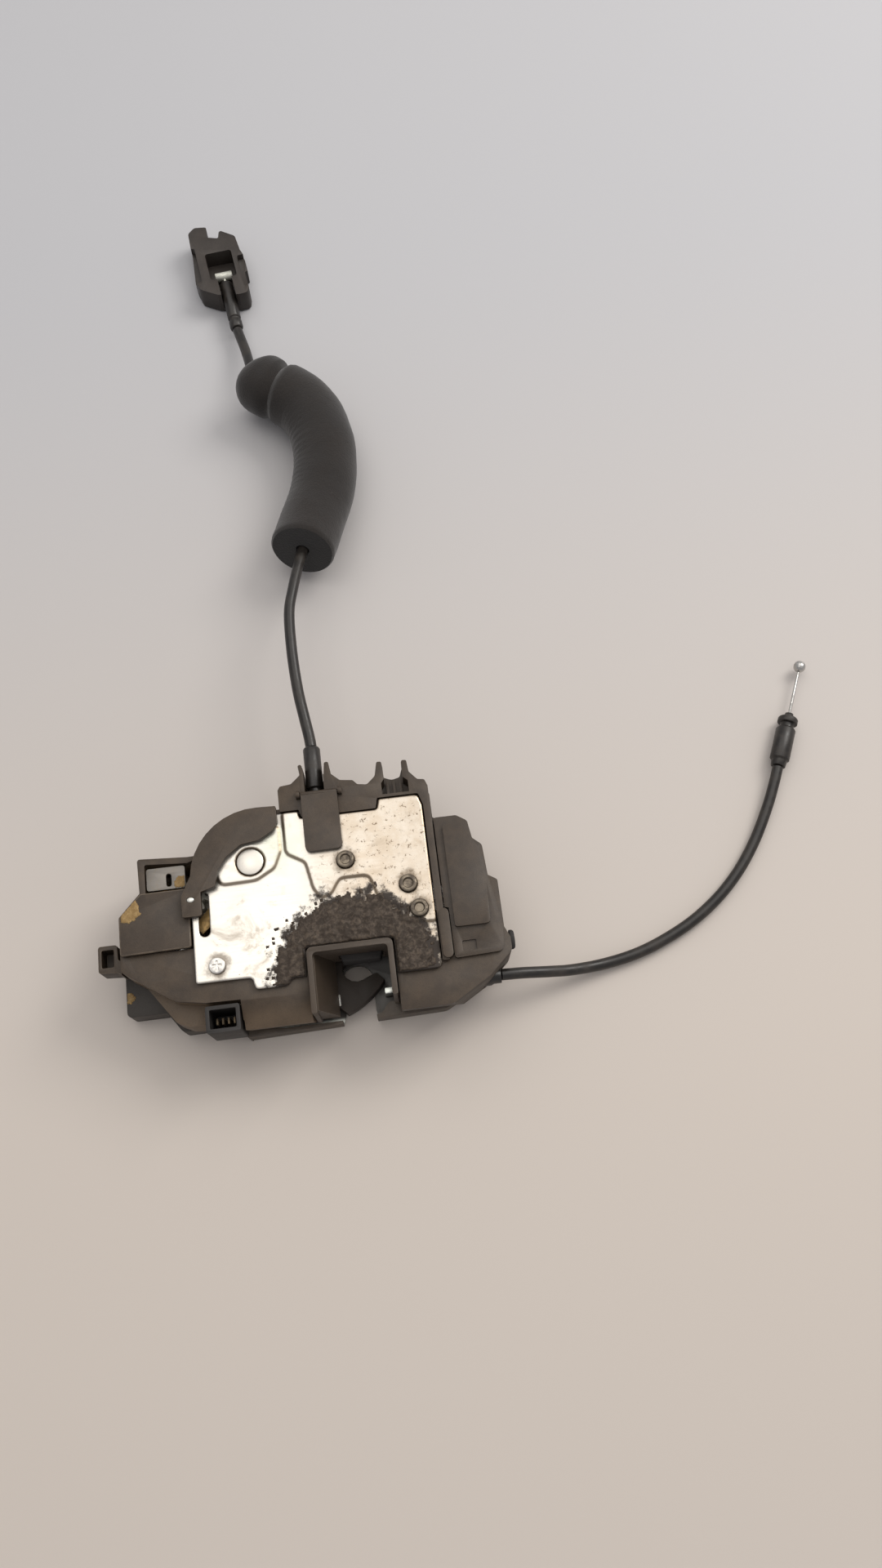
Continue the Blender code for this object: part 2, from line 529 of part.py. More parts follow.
def make_cable_bracket(m):
    """Plastic bracket along the far edge and down the right side, with horns round two cable sockets."""
    low = WALL_TOP + GAP
    far_edge = [
        (50.2, 37.6, 0.8), (47.6, 38.0, 1.0), (44.7, 41.4, 1.0), (44.3, 46.2, 0.7), (42.5, 46.3, 0.7),
        (41.3, 42.9, 1.0), (38.1, 42.1, 3.0), (35.1, 43.4, 1.0), (34.7, 46.7, 0.7), (32.9, 46.8, 0.7),
        (31.7, 41.2, 1.5), (28.4, 38.2, 1.5), (24.8, 38.8, 0.8), (23.2, 40.6, 1.0), (18.3, 41.3, 1.5),
        (14.8, 44.6, 1.0), (14.7, 49.2, 0.7), (13.1, 49.2, 0.7), (12.5, 44.4, 0.0), (5.0, 44.4, 0.0),
        (4.4, 49.2, 0.7), (2.9, 49.2, 0.7), (3.4, 45.0, 1.0), (-0.2, 41.9, 1.0), (-4.5, 41.4, 0.8),
        (-5.4, 40.0, 0.5),
    ]
    near_edge = [
        (-5.4, 31.4, 0.5), (1.9, 31.4, 0.5), (2.6, 28.4, 0.5), (30.7, 28.4, 0.5), (31.6, 32.4, 0.5),
        (47.2, 32.4, 1.0), (48.6, 27.6, 0.5), (48.6, -32.0, 0.5), (51.2, -32.0, 0.5), (51.2, 35.0, 1.0),
    ]
    bracket = prism("cable_bracket", rounded(near_edge + far_edge), (low, COVER_TOP + 0.4), m["case"])
    under = [(x * 0.99 + 0.2, y - 0.4, radius) for x, y, radius in far_edge]
    block = rounded([(-5.0, 33.5, 0.0), (49.6, 33.5, 0.5)] + under)
    fuse(bracket, prism("block", block, (21.0, low + 0.6)))
    pillar = prism("pillar", stadium((50.9, -29.6), (50.9, -15.0), 1.9), (low, COVER_TOP + 1.6))
    lug = rounded([(35.3, 34.0, 0.0), (38.2, 34.0, 0.0), (38.2, 37.2, 1.3), (35.3, 37.2, 1.3)])
    lugs = [prism("lug", lug, span, frame=ALONG_X) for span in ((1.4, 2.8), (17.3, 18.7))]
    fuse(bracket, pillar, *lugs)
    x, z = TOP_SOCKET
    trough = [
        (33.8, 33.5), (44.0, 33.5), (44.0, 38.0), (42.2, 39.6), (42.2, 60.0), (35.0, 60.0), (35.0, 39.6),
        (33.8, 38.0),
    ]
    sockets = [
        prism("socket", [(x - 3.7, 60.0), (x + 3.7, 60.0), *arc((x, z), 3.7, 0.0, -180.0, 10)], (33.0, 60.0),
              frame=ALONG_Y),
        prism("socket", trough, (26.0, 60.0)),
        prism("pin_hole", circle((36.6, 35.7), 1.0, 12), (-2.0, 22.0), frame=ALONG_X),
    ]
    cut(bracket, *sockets)
    ribs = [prism("rib", box_outline((a, a + 1.0), (33.8, 40.6)), (25.0, 28.0)) for a in (35.6, 38.1, 40.6)]
    return fuse(bracket, *ribs)


def make_arch_cover(m):
    """Curved rib cover over the upper left of the back plate, with the small clip block on its foot."""
    outer = [(x, y, 0.0) for x, y in arc((-14.5, 8.0), 25.3, 88.0, 176.0, 9)]
    foot = [
        (-43.4, 2.6, 0.8), (-43.4, -5.4, 0.8), (-36.4, -5.4, 0.8), (-36.4, 3.4, 0.5), (-31.0, 5.0, 1.0),
        (-29.6, 11.0, 2.0), (-26.5, 15.4, 3.0), (-20.6, 19.6, 3.0), (-13.6, 20.6, 2.0), (-8.4, 23.6, 1.0),
        (-6.4, 26.4, 1.0), (-6.4, 33.0, 0.5),
    ]
    low = PLATE_Z[1] + 0.7 + GAP
    arch = prism("arch_cover", rounded(outer + foot), (low, low + 2.6), m["case"])
    return cut(arch, prism("hole", stadium((-40.6, 0.9), (-39.6, 0.9), 1.0), OVER_ALL))


def make_mouth_frame(m):
    """Plastic chute round the striker mouth, with a ramp on its left wall, and the rubber bumper in it."""
    low = DECK_Z[1] + GAP
    left, right = MOUTH_X
    inner_left, inner_right, inner_top = left + MOUTH_WALL, right - MOUTH_WALL, MOUTH_TOP - MOUTH_WALL
    frame_corners = [
        (left, -45.6, 0.6), (inner_left, -45.6, 0.6), (inner_left, inner_top, 1.5),
        (inner_right, inner_top, 1.5), (inner_right, -42.2, 0.6), (right, -42.2, 0.6),
        (right, MOUTH_TOP, 2.0),
        (left, MOUTH_TOP, 2.0),
    ]
    chute = prism("mouth_frame", rounded(frame_corners), (low, MOUTH_RIM), m["cover"])
    wall = left + 1.0
    ramp = [
        (wall, low), (wall + 7.6, low), (wall + 7.6, low + 2.0), (wall + 1.4, MOUTH_RIM - 2.5),
        (wall, MOUTH_RIM - 1.5),
    ]
    fuse(chute, prism("ramp", ramp, (-44.4, MOUTH_TOP - 1.0), frame=ALONG_Y))
    room = prism("room", box_outline((10.6, 27.4), (MOUTH_TOP - 2.6, MOUTH_TOP - 1.1)), (15.7, 24.3))
    cut(chute, room)
    bumper_outline = rounded([
        (11.0, MOUTH_TOP - 1.5, 0.0), (12.0, MOUTH_TOP - 4.4, 1.0), (26.0, MOUTH_TOP - 4.4, 1.0),
        (27.0, MOUTH_TOP - 1.5, 0.0),
    ])
    return [chute, prism("striker_bumper", bumper_outline, (16.0, 24.0), m["rubber"])]


def make_cable_flap(m):
    """Hinged flap over the inside cable, with a barrel and two stub pins on its hinge line."""
    x, hinge = (3.2, 16.9), (36.6, 35.7)
    leaf = rounded([(x[0], 14.0, 2.0), (x[1], 14.0, 2.0), (x[1], hinge[0], 0.0), (x[0], hinge[0], 0.0)])
    flap = prism("cable_flap", leaf, (34.9, 36.7), m["cover"])
    barrel = prism("barrel", circle(hinge, 1.1, 16), (x[0] + 0.2, x[1] - 0.2), frame=ALONG_X)
    fuse(flap, barrel, prism("stubs", circle(hinge, 0.7, 12), (1.6, 18.5), frame=ALONG_X))
    return pivot_on(flap, (10.05, *hinge))


def make_pins(m):
    """Pivot pins and rivets that tie the plates together, and the plate's screw."""
    plate_top = PLATE_Z[1]
    raised = plate_top + 0.7
    deck = DECK_Z[1] + GAP
    claw_pin = turned("claw_pin", [
        (0, 0.2), (2.5, 0.2), (2.5, 2.3), (3.8, 2.3), (3.8, LOWER_TOP), (2.6, LOWER_TOP), (2.6, 19.5),
        (0, 19.5),
    ], at(*CLAW_PIVOT), m["steel"])
    head = [
        (3.3, raised + GAP), (3.2, raised + 1.2), (2.0, raised + 1.4), (1.7, raised + 0.5), (0, raised + 0.5),
    ]
    pawl_pin = turned("pawl_pin", [
        (0, 0.2), (2.5, 0.2), (2.5, 2.3), (3.3, 2.3), (3.3, LOWER_TOP), (2.6, LOWER_TOP),
        (2.6, raised + GAP), *head,
    ], at(*PAWL_PIVOT), m["zinc"])
    post = [(0, deck), (2.6, deck), (2.6, raised + GAP), *head]
    release_pin = turned("release_pin", post, at(*RELEASE_PIVOT), m["zinc"])
    inside_pin = turned("inside_lever_pin", post, at(*INSIDE_PIVOT), m["zinc"])
    lock_pin = turned("lock_pin", [
        (0, deck), (3.0, deck), (3.0, PLATE_Z[0] + 0.2), (5.0, PLATE_Z[0] + 0.2), (5.0, raised - 0.05),
        (4.7, raised + 0.1), (0, raised + 0.1),
    ], at(*LOCK_PIVOT), m["zinc"], 28)
    axle = [(0, deck), (1.9, deck), (1.9, 30.6), (0, 30.6)]
    gear_pin = turned("gear_pin", axle, at(*wheel_centre()), m["steel"])
    screw = turned("plate_screw", [
        (0, 22.0), (1.5, 22.0), (1.5, plate_top + GAP), (3.2, plate_top + GAP), (2.9, plate_top + 1.4),
        (0, plate_top + 1.6),
    ], at(*SCREW_AT), m["zinc"])
    cross = [
        prism("cross", box_outline((SCREW_AT[0] - a, SCREW_AT[0] + a), (SCREW_AT[1] - b, SCREW_AT[1] + b)),
              (plate_top + 0.9, 60.0))
        for a, b in ((1.7, 0.35), (0.35, 1.7))
    ]
    return [claw_pin, pawl_pin, release_pin, inside_pin, lock_pin, gear_pin, cut(screw, *cross)]


def make_claw(m):
    """Fork for the striker, with its cam and the pawl's notch: drawn open, then turned in to its rest."""
    seat, out = Vector(CLAW_SEAT), Vector(CLAW_SLOT_DIR)
    across = Vector((-out.y, out.x))
    low_edge, high_edge = seat - across * SLOT_HALF, seat + across * SLOT_HALF
    slot = [(*(low_edge + out * 6.0), 1.0), (*low_edge, 0.0)]
    slot += [(*(seat + Vector(polar(SLOT_HALF, angle))), 0.0) for angle in (-140, -165, 170, 145, 120)]
    jaw = [
        (*high_edge, 0.0), (*(high_edge + out * 15.0), 1.2), (*(high_edge + across * 5.4 + out * 15.0), 1.5),
        (14.0, -12.0, 2.0),
    ]
    cam = [(*polar(NOTCH_RADIUS, -22), 1.5), (*polar(NOTCH_RADIUS, 1.5), 0.0)]
    cam += [(x, y, 0.0) for x, y in arc((0, 0), CAM_RADIUS, CAM_ANGLES[0], CAM_ANGLES[1], 4)]
    cam += [(x, y, 0.0) for x, y in arc((0, 0), 11.5, 31.0, 160.0, 8)]
    back = [(-14.5, -8.0, 4.0), (-16.0, -18.0, 4.0)]
    back += [(x, y, 0.0) for x, y in arc((0, 0), CLAW_REACH, 240.0, 273.0, 5)]
    shifted = [(x + CLAW_PIVOT[0], y + CLAW_PIVOT[1]) for x, y in rounded(slot + jaw + cam + back)]
    claw = prism("claw", shifted, CLAW_Z, m["coated"])
    cut(claw, cylinder("hole", CLAW_PIVOT, 4.1, OVER_ALL))
    pivot_on(claw, (*CLAW_PIVOT, CLAW_Z[0]))
    claw.rotation_euler.z = math.radians(CLAW_SWING)
    return claw


def make_pawl(m):
    """Strut that holds the claw, with the stud that the release lever lifts."""
    low, high = PAWL_TIP_ANGLES
    near, far = PAWL_TIP_RADII
    corners = [
        (*polar(near, low, CLAW_PIVOT), 0.5), (*polar(far, low, CLAW_PIVOT), 2.0), (38.0, -16.5, 3.0),
        (43.0, -18.0, 4.0), (48.4, -12.0, 4.5), (44.0, -5.6, 4.0), (24.0, 6.4, 4.0),
        (*polar(far, high, CLAW_PIVOT), 2.0), (*polar(near, high, CLAW_PIVOT), 0.3),
    ]
    pawl = prism("pawl", rounded(corners), CLAW_Z, m["steel"])
    fuse(pawl, cylinder("stud", stud_at(0.0), STUD_RADIUS, (CLAW_Z[1] - 1.0, 18.0), sides=16))
    cut(pawl, cylinder("hole", PAWL_PIVOT, 3.6, OVER_ALL))
    pivot_on(pawl, (*PAWL_PIVOT, CLAW_Z[0]))
    pawl.rotation_euler.z = -math.radians(PAWL_LIFT)
    return pawl


def make_release_lever(m):
    """Lever with a finger under the pawl's stud and an arm for the outside cable."""
    x, y = RELEASE_PIVOT
    top = stud_at(PAWL_LIFT)[1] - STUD_RADIUS - 0.55
    corners = [
        (20.5, top - 4.6, 1.5), (x - 3.0, y - 6.4, 3.0), (x + 3.0, y - 6.4, 2.0), (54.0, -9.8, 2.0),
        (59.6, -8.6, 3.0),
        (59.0, -3.0, 3.0), (x + 4.0, y + 6.2, 4.0), (x - 6.4, y + 4.4, 3.0), (x - 8.0, top, 1.5),
        (20.5, top, 1.0),
    ]
    lever = prism("release_lever", rounded(corners), RELEASE_Z, m["zinc"])
    eye = cylinder("eye", (56.0, -6.0), 1.8, OVER_ALL, sides=16)
    cut(lever, cylinder("hole", RELEASE_PIVOT, 3.0, OVER_ALL), eye)
    return pivot_on(lever, (*RELEASE_PIVOT, RELEASE_Z[0]))


def make_inside_lever(m):
    """Bell crank for the inside handle's cable."""
    x, y = INSIDE_PIVOT
    corners = [
        (1.4, 6.2, 3.0), (x - 5.0, y - 4.4, 2.0), (x - 3.0, y - 6.4, 3.0), (x + 5.0, y - 5.6, 4.0),
        (31.0, y - 1.2, 2.0),
        (31.6, y + 4.6, 2.0), (x + 4.0, y + 6.2, 4.0), (x - 5.6, y + 4.6, 3.0), (1.4, 12.6, 3.0),
    ]
    lever = prism("inside_lever", rounded(corners), INSIDE_Z, m["zinc"])
    eye = cylinder("eye", (5.0, 9.4), 1.8, OVER_ALL, sides=16)
    cut(lever, cylinder("hole", INSIDE_PIVOT, 3.0, OVER_ALL), eye)
    return pivot_on(lever, (*INSIDE_PIVOT, INSIDE_Z[0]))


def tooth_points(teeth, index, offset):
    """Tip and flank points of one tooth of a spur gear, at offset degrees."""
    pitch_radius = MODULE * teeth / 2
    step = 360.0 / teeth
    middle = offset + index * step
    shape = ((-1.35, 0.27), (0.0, 0.2), (0.9, 0.1))
    rising = [(pitch_radius + h * MODULE, middle - w * step) for h, w in shape]
    falling = [(pitch_radius + h * MODULE, middle + w * step) for h, w in reversed(shape)]
    return [polar(radius, angle) for radius, angle in rising + falling]


def gear_outline(teeth, offset):
    points = []
    for i in range(teeth):
        points += tooth_points(teeth, i, offset)
    return points


def make_worm_wheel(m):
    """Worm wheel with the pinion that turns the lock lever."""
    x, y = wheel_centre()
    towards_lock = math.degrees(math.atan2(LOCK_PIVOT[1] - y, LOCK_PIVOT[0] - x))
    wheel_z = (WORM_Z - 2.0, WORM_Z + 2.0)
    wheel_offset = 180.0
    wheel_outline = [(px + x, py + y) for px, py in gear_outline(WHEEL_TEETH, wheel_offset)]
    pinion_outline = [(px + x, py + y) for px, py in gear_outline(PINION_TEETH, towards_lock)]
    wheel = prism("worm_wheel", wheel_outline, wheel_z, m["gear"])
    fuse(wheel, prism("pinion", pinion_outline, (wheel_z[1] - 0.5, LOCK_Z[1] + 0.5)))
    cut(wheel, cylinder("hole", (x, y), 2.2, OVER_ALL, sides=16))
    return pivot_on(wheel, (x, y, wheel_z[0]))


def make_lock_lever(m):
    """Yellow chromate lever: toothed sector, hub, and the arm seen through the back plate's slot."""
    x, y = wheel_centre()
    towards_wheel = math.degrees(math.atan2(y - LOCK_PIVOT[1], x - LOCK_PIVOT[0])) % 360.0
    pitch = 360.0 / SECTOR_TEETH
    points = []
    for i in range(-3, 1):
        points += tooth_points(SECTOR_TEETH, i, towards_wheel + pitch / 2)
    root = MODULE * (SECTOR_TEETH / 2 - 1.35)
    arm = [(root, 216.5), (22.0, 219.5), (30.5, 221.5), (31.0, 230.0), (20.0, 235.0), (11.0, 248.0)]
    points += [polar(radius, angle) for radius, angle in arm] + arc((0, 0), 7.5, 270.0, 460.0, 10)
    points += [polar(root, towards_wheel - pitch * 3.1)]
    shifted = [(px + LOCK_PIVOT[0], py + LOCK_PIVOT[1]) for px, py in points]
    lever = prism("lock_lever", shifted, LOCK_Z, m["yellow"])
    cut(lever, cylinder("hole", LOCK_PIVOT, 3.3, OVER_ALL))
    return pivot_on(lever, (*LOCK_PIVOT, LOCK_Z[0]))


def make_motor(m):
    """Flat sided motor can with its front boss, along Y."""
    width, length, height = MOTOR_BOX
    x, bottom = MOTOR_X, WORM_Z - height / 2
    outline = rounded([
        (x - width / 2, bottom, 5.0), (x + width / 2, bottom, 5.0), (x + width / 2, bottom + height, 5.0),
        (x - width / 2, bottom + height, 5.0),
    ])
    can = prism("motor", outline, (MOTOR_END_Y - length, MOTOR_END_Y), m["steel"], ALONG_Y)
    fuse(can, prism("boss", circle((x, WORM_Z), 3.0), (MOTOR_END_Y - 0.5, MOTOR_END_Y + 1.4), frame=ALONG_Y))
    return cut(can, prism("bore", circle((x, WORM_Z), 1.4, 12), (MOTOR_END_Y - 2.0, 40.0), frame=ALONG_Y))


def make_motor_worm(m):
    """Worm on the motor shaft: a thread whose height follows the turn and the way along the shaft."""
    lead = math.pi * MODULE
    sides, rows, span = 20, 34, 13.6
    middle = wheel_centre()[1]
    start = middle - span / 2
    tip, root = WORM_RADIUS + 0.85 * MODULE, WORM_RADIUS - 1.3 * MODULE
    mesh = bmesh.new()
    rings = []
    for j in range(rows + 1):
        along = start + span * j / rows
        fade = min(1.0, j / 3, (rows - j) / 3)
        ring = []
        for i in range(sides):
            turn = i / sides
            phase = ((along - middle) / lead - turn + 1.0) % 1.0
            height = min(1.0, max(0.0, (0.27 - abs(phase - 0.5)) / 0.14))
            radius = root + (tip - root) * height * fade
            a = 2 * math.pi * turn
            across = (radius * math.cos(a), -radius * math.sin(a))
            ring.append(mesh.verts.new((MOTOR_X + across[0], along, WORM_Z + across[1])))
        rings.append(ring)
    for low, high in zip(rings, rings[1:]):
        for i in range(sides):
            k = (i + 1) % sides
            mesh.faces.new((low[i], low[k], high[k], high[i]))
    mesh.faces.new(rings[0])
    mesh.faces.new(reversed(rings[-1]))
    bmesh.ops.triangulate(mesh, faces=mesh.faces)
    worm = from_bmesh("motor_worm", mesh, m["brass"])
    shaft_y = (MOTOR_END_Y - 1.6, start + span + 1.6)
    shaft = prism("shaft", circle((MOTOR_X, WORM_Z), 1.0, 12), shaft_y, frame=ALONG_Y)
    return pivot_on(fuse(worm, shaft), (MOTOR_X, middle, WORM_Z))


def make_electrics(m):
    """Connector shroud with blades at the near edge, and the switch board under the switch cover."""
    x, y, floor = (-38.4, -26.0), (-47.3, -37.6), 14.0
    shroud = prism("connector_shroud", box_outline(x, y, 0.8), (12.1, WALL_TOP - 0.5), m["case"])
    inside = box_outline((x[0] + 1.4, x[1] - 1.4), (y[0] + 1.4, y[1] - 1.4), 0.5)
    cut(shroud, prism("socket", inside, (floor, 60.0)))
    places = [(x[0] + 3.1 + 2.1 * i, (y[0] + y[1]) / 2) for i in range(4)]
    blades = []
    for i, (px, py) in enumerate(places):
        hole = box_outline((px - 0.7, px + 0.7), (py - 1.5, py + 1.5))
        blade = box_outline((px - 0.4, px + 0.4), (py - 1.2, py + 1.2))
        cut(shroud, prism("hole", hole, OVER_ALL))
        blades.append(prism(f"terminal_{i + 1}", blade, (12.4, 25.0), m["brass"]))
    board = prism("switch_board", box_outline((53.4, 66.6), (-28.6, -13.4), 0.6), (20.0, 21.6), m["board"])
    switch = prism("micro_switch", box_outline((54.6, 60.6), (-26.6, -16.0), 0.5), (21.9, 27.7), m["coated"])
    fuse(switch, prism("plunger", box_outline((57.0, 58.4), (-20.0, -18.4)), (27.0, 29.0)))
    return [shroud, *blades, board, switch]


def make_trim(m):
    """Harness clip, pocket plate and side plug."""
    arm = [
        (-76.4, -20.4, 1.0), (-69.8, -20.8, 1.0), (-68.0, -21.8, 0.0), (-68.0, -16.8, 0.0),
        (-69.2, -16.0, 1.0),
        (-69.4, -10.4, 1.0), (-76.4, -10.4, 1.0),
    ]
    clip = prism("harness_clip", rounded(arm), (19.0, 29.0), m["case"])
    cut(clip, prism("loop", box_outline((-75.2, -70.6), (-18.6, -12.0), 0.6), (20.6, 60.0)))
    pocket = prism("pocket_plate", box_outline((-57.0, -42.6), (7.6, 16.2), 1.0), (29.9, 31.2), m["zinc"])
    cut(pocket, prism("slot", stadium((-48.7, 9.6), (-48.7, 12.6), 1.0), OVER_ALL))
    plug = turned("side_plug", [
        (0, 69.6), (2.0, 69.6), (2.0, 74.6), (3.7, 74.6), (3.7, 75.6), (3.2, 76.4), (1.6, 76.4), (1.4, 75.8),
        (0, 75.8),
    ], Matrix(((0, 0, 1, 0), (1, 0, 0, -25.0), (0, 1, 0, 21.0), (0, 0, 0, 1))), m["rubber"], 18)
    return [clip, pocket, plug]


def make_inside_cable(m):
    """Cable with the foam sleeve and the inside handle's clip."""
    x, z = TOP_SOCKET
    ferrule = turned("inside_cable_ferrule", [
        (0, 34.0), (3.3, 34.0), (3.3, 38.0), (2.5, 38.4), (2.5, 40.4), (3.3, 40.8), (3.3, 56.8), (2.8, 57.6),
        (0, 57.6),
    ], Matrix(((1, 0, 0, x), (0, 0, 1, 0), (0, -1, 0, z), (0, 0, 0, 1))), m["conduit"], 16)
    route = smooth_route(INSIDE_ROUTE, 2.6 * CONDUIT)
    cable = tube("inside_cable", route, CONDUIT, m["conduit"])
    return [ferrule, cable, make_foam_sleeve(m)]


def make_foam_sleeve(m):
    """Foam tube on the cable, with the crease near its far end and a rounded far rim."""
    spacing, sides = 3.0, 16
    middle = [p for p in smooth_route(INSIDE_ROUTE, spacing) if FOAM_SPAN_Y[0] < p.y < FOAM_SPAN_Y[1]]
    mesh = bmesh.new()
    outer, inner = [], []
    for i, point in enumerate(middle):
        from_end = spacing * (len(middle) - 1 - i)
        crease = 2.6 * math.exp(-(((from_end - CREASE_FROM_END) / 2.4) ** 2))
        radius = FOAM_RADIUS - crease - 3.0 * max(0.0, 1.0 - from_end / 5.0) ** 2
        ahead = middle[min(i + 1, len(middle) - 1)] - middle[max(i - 1, 0)]
        frame = Matrix.Translation(point) @ ahead.to_track_quat("Z", "Y").to_matrix().to_4x4()
        angles = [2 * math.pi * k / sides for k in range(sides)]
        for rings, size in ((outer, radius), (inner, FOAM_BORE)):
            ring = [frame @ Vector((size * math.cos(a), size * math.sin(a), 0)) for a in angles]
            rings.append([mesh.verts.new(place) for place in ring])
    for rings in (outer, inner):
        for low, high in zip(rings, rings[1:]):
            for k in range(sides):
                mesh.faces.new((low[k], low[k - 1], high[k - 1], high[k]))
    for low, high in ((outer[0], inner[0]), (outer[-1], inner[-1])):
        for k in range(sides):
            mesh.faces.new((low[k], low[k - 1], high[k - 1], high[k]))
    sleeve = from_bmesh("foam_sleeve", mesh, m["foam"])
    sleeve.data.shade_smooth()
    return sleeve


def make_handle_clip(m):
    """Clip of the inside handle: ferrule in an open channel, body with a window, and the sliding nipple."""
    ferrule = turned("clip_ferrule", [
        (0.9, 0.3), (2.6, 0.3), (3.0, 1.0), (3.0, 4.6), (2.4, 4.9), (2.4, 6.0), (3.0, 6.3), (3.0, 26.2),
        (0.9, 26.2),
        (0.9, 0.3),
    ], pointing(CLIP_START, CLIP_ANGLE), m["conduit"], 16)
    heading = Vector((*polar(1.0, CLIP_ANGLE), 0))
    near = Vector(CLIP_START) + heading * 15.9
    local = [
        (-12.2, 6.0, 3.0), (-4.8, 1.0, 1.0), (4.6, -1.0, 1.0), (8.9, -0.8, 2.0), (10.0, 3.0, 1.0),
        (10.0, 13.4, 0.5),
        (11.4, 13.8, 0.5), (11.4, 20.0, 1.0), (10.2, 24.0, 1.0), (9.5, 32.5, 2.0), (2.9, 37.6, 1.0),
        (1.6, 33.0, 0.8), (-3.4, 34.8, 0.8), (-2.6, 40.8, 1.0), (-8.2, 41.8, 2.0), (-11.6, 39.0, 2.0),
        (-12.1, 28.0, 1.0), (-13.6, 13.0, 3.0),
    ]
    body = prism("handle_clip", rounded(local), (0.4, 11.4), m["case"])
    cut(
        body,
        prism("window", box_outline((-6.4, 6.0), (10.0, 25.2), 1.2), (3.0, 60.0)),
        prism("channel", box_outline((-3.35, 3.35), (-9.0, 10.8)), (2.6, 60.0)),
        prism("left_step", box_outline((-20.0, -10.4), (10.0, 30.0), 1.0), (7.6, 60.0)),
        prism("right_step", box_outline((8.0, 20.0), (3.0, 21.0), 1.0), (8.4, 60.0)),
    )
    turn = Matrix.Rotation(math.radians(CLIP_ANGLE - 90), 4, "Z")
    body.data.transform(Matrix.Translation((near.x * MM, near.y * MM, 0)) @ turn)
    wire = [(0, 0), (WIRE / 2, 0), (WIRE / 2, 24.2), (0, 24.2)]
    nipple = turned("clip_nipple", wire, pointing(near - heading * 8.0, CLIP_ANGLE), m["steel"], 10)
    barrel_at = near + heading * 15.4
    barrel_shape = [(0, -4.0), (2.0, -4.0), (2.0, 4.0), (0, 4.0)]
    barrel = turned("barrel", barrel_shape, pointing(barrel_at, CLIP_ANGLE - 90), sides=16)
    return [ferrule, body, pivot_on(fuse(nipple, barrel), barrel_at)]


def make_outside_cable(m):
    """Cable that ends in a ferrule with a collar, the bare wire and the ball nipple."""
    gland = turned("outside_cable_gland", [
        (0, 57.6), (3.6, 57.6), (3.6, 66.0), (3.1, 67.0), (3.1, GLAND_AT[0]), (0, GLAND_AT[0]),
    ], Matrix(((0, 0, 1, 0), (1, 0, 0, GLAND_AT[1]), (0, 1, 0, GLAND_AT[2]), (0, 0, 0, 1))), m["conduit"], 16)
    cable = tube("outside_cable", smooth_route(OUTSIDE_ROUTE, 2.6 * CONDUIT), CONDUIT, m["conduit"])
    frame = pointing(FERRULE_START, FERRULE_ANGLE)
    ferrule = turned("outside_ferrule", [
        (0, 0), (2.9, 0), (3.2, 2.6), (4.0, 3.2), (4.0, 16.4), (3.5, 17.2), (2.8, 17.4), (2.8, 19.2),
        (4.1, 19.4),
        (4.1, 21.4), (3.6, 22.0), (2.0, 22.2), (1.7, 24.0), (1.0, 24.0), (1.0, 4.0), (0, 4.0),
    ], frame, m["conduit"], 18)
    wire = turned("outside_wire", [
        (0, 9.0), (WIRE / 2, 9.0), (WIRE / 2, 43.4), (0, 43.4),
    ], frame, m["steel"], 10)
    ball_at = 46.2
    profile = [polar(BALL / 2, -90 + 20 * i) for i in range(10)]
    ball = turned("ball_nipple", [(max(0.0, r), h + ball_at) for r, h in profile], frame, m["steel"], 16)
    return [gland, cable, ferrule, wire, ball]


def make_springs(m):
    """Return springs of the claw, the pawl and the inside lever."""
    return [
        torsion_spring("claw_spring", CLAW_PIVOT, 13.6, 4.6, 3.25, (5.5, 6.0), m["spring"]),
        torsion_spring("pawl_spring", PAWL_PIVOT, 18.2, 4.4, 3.25, (5.0, 6.0), m["spring"]),
        torsion_spring("inside_lever_spring", INSIDE_PIVOT, 20.0, 4.4, 3.25, (7.0, 6.0), m["spring"]),
    ]


def main():
    clear_scene()
    m = make_materials()
    make_face_plate(m)
    make_lower_case(m)
    make_upper_case(m)
    make_back_plate(m)
    make_covers(m)
    make_cable_bracket(m)
    make_arch_cover(m)
    make_mouth_frame(m)
    make_cable_flap(m)
    make_pins(m)
    make_claw(m)
    make_pawl(m)
    make_release_lever(m)
    make_inside_lever(m)
    make_worm_wheel(m)
    make_lock_lever(m)
    make_motor(m)
    make_motor_worm(m)
    make_electrics(m)
    make_trim(m)
    make_inside_cable(m)
    make_handle_clip(m)
    make_outside_cable(m)
    make_springs(m)


main()
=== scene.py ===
"""Looks of the vehicle door latch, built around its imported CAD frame.

Sizes are in metres unless a name ends in _MM.
"""

import json
import math
import random

import bmesh
import bpy
from mathutils import Matrix, Vector, noise
from mathutils.bvhtree import BVHTree


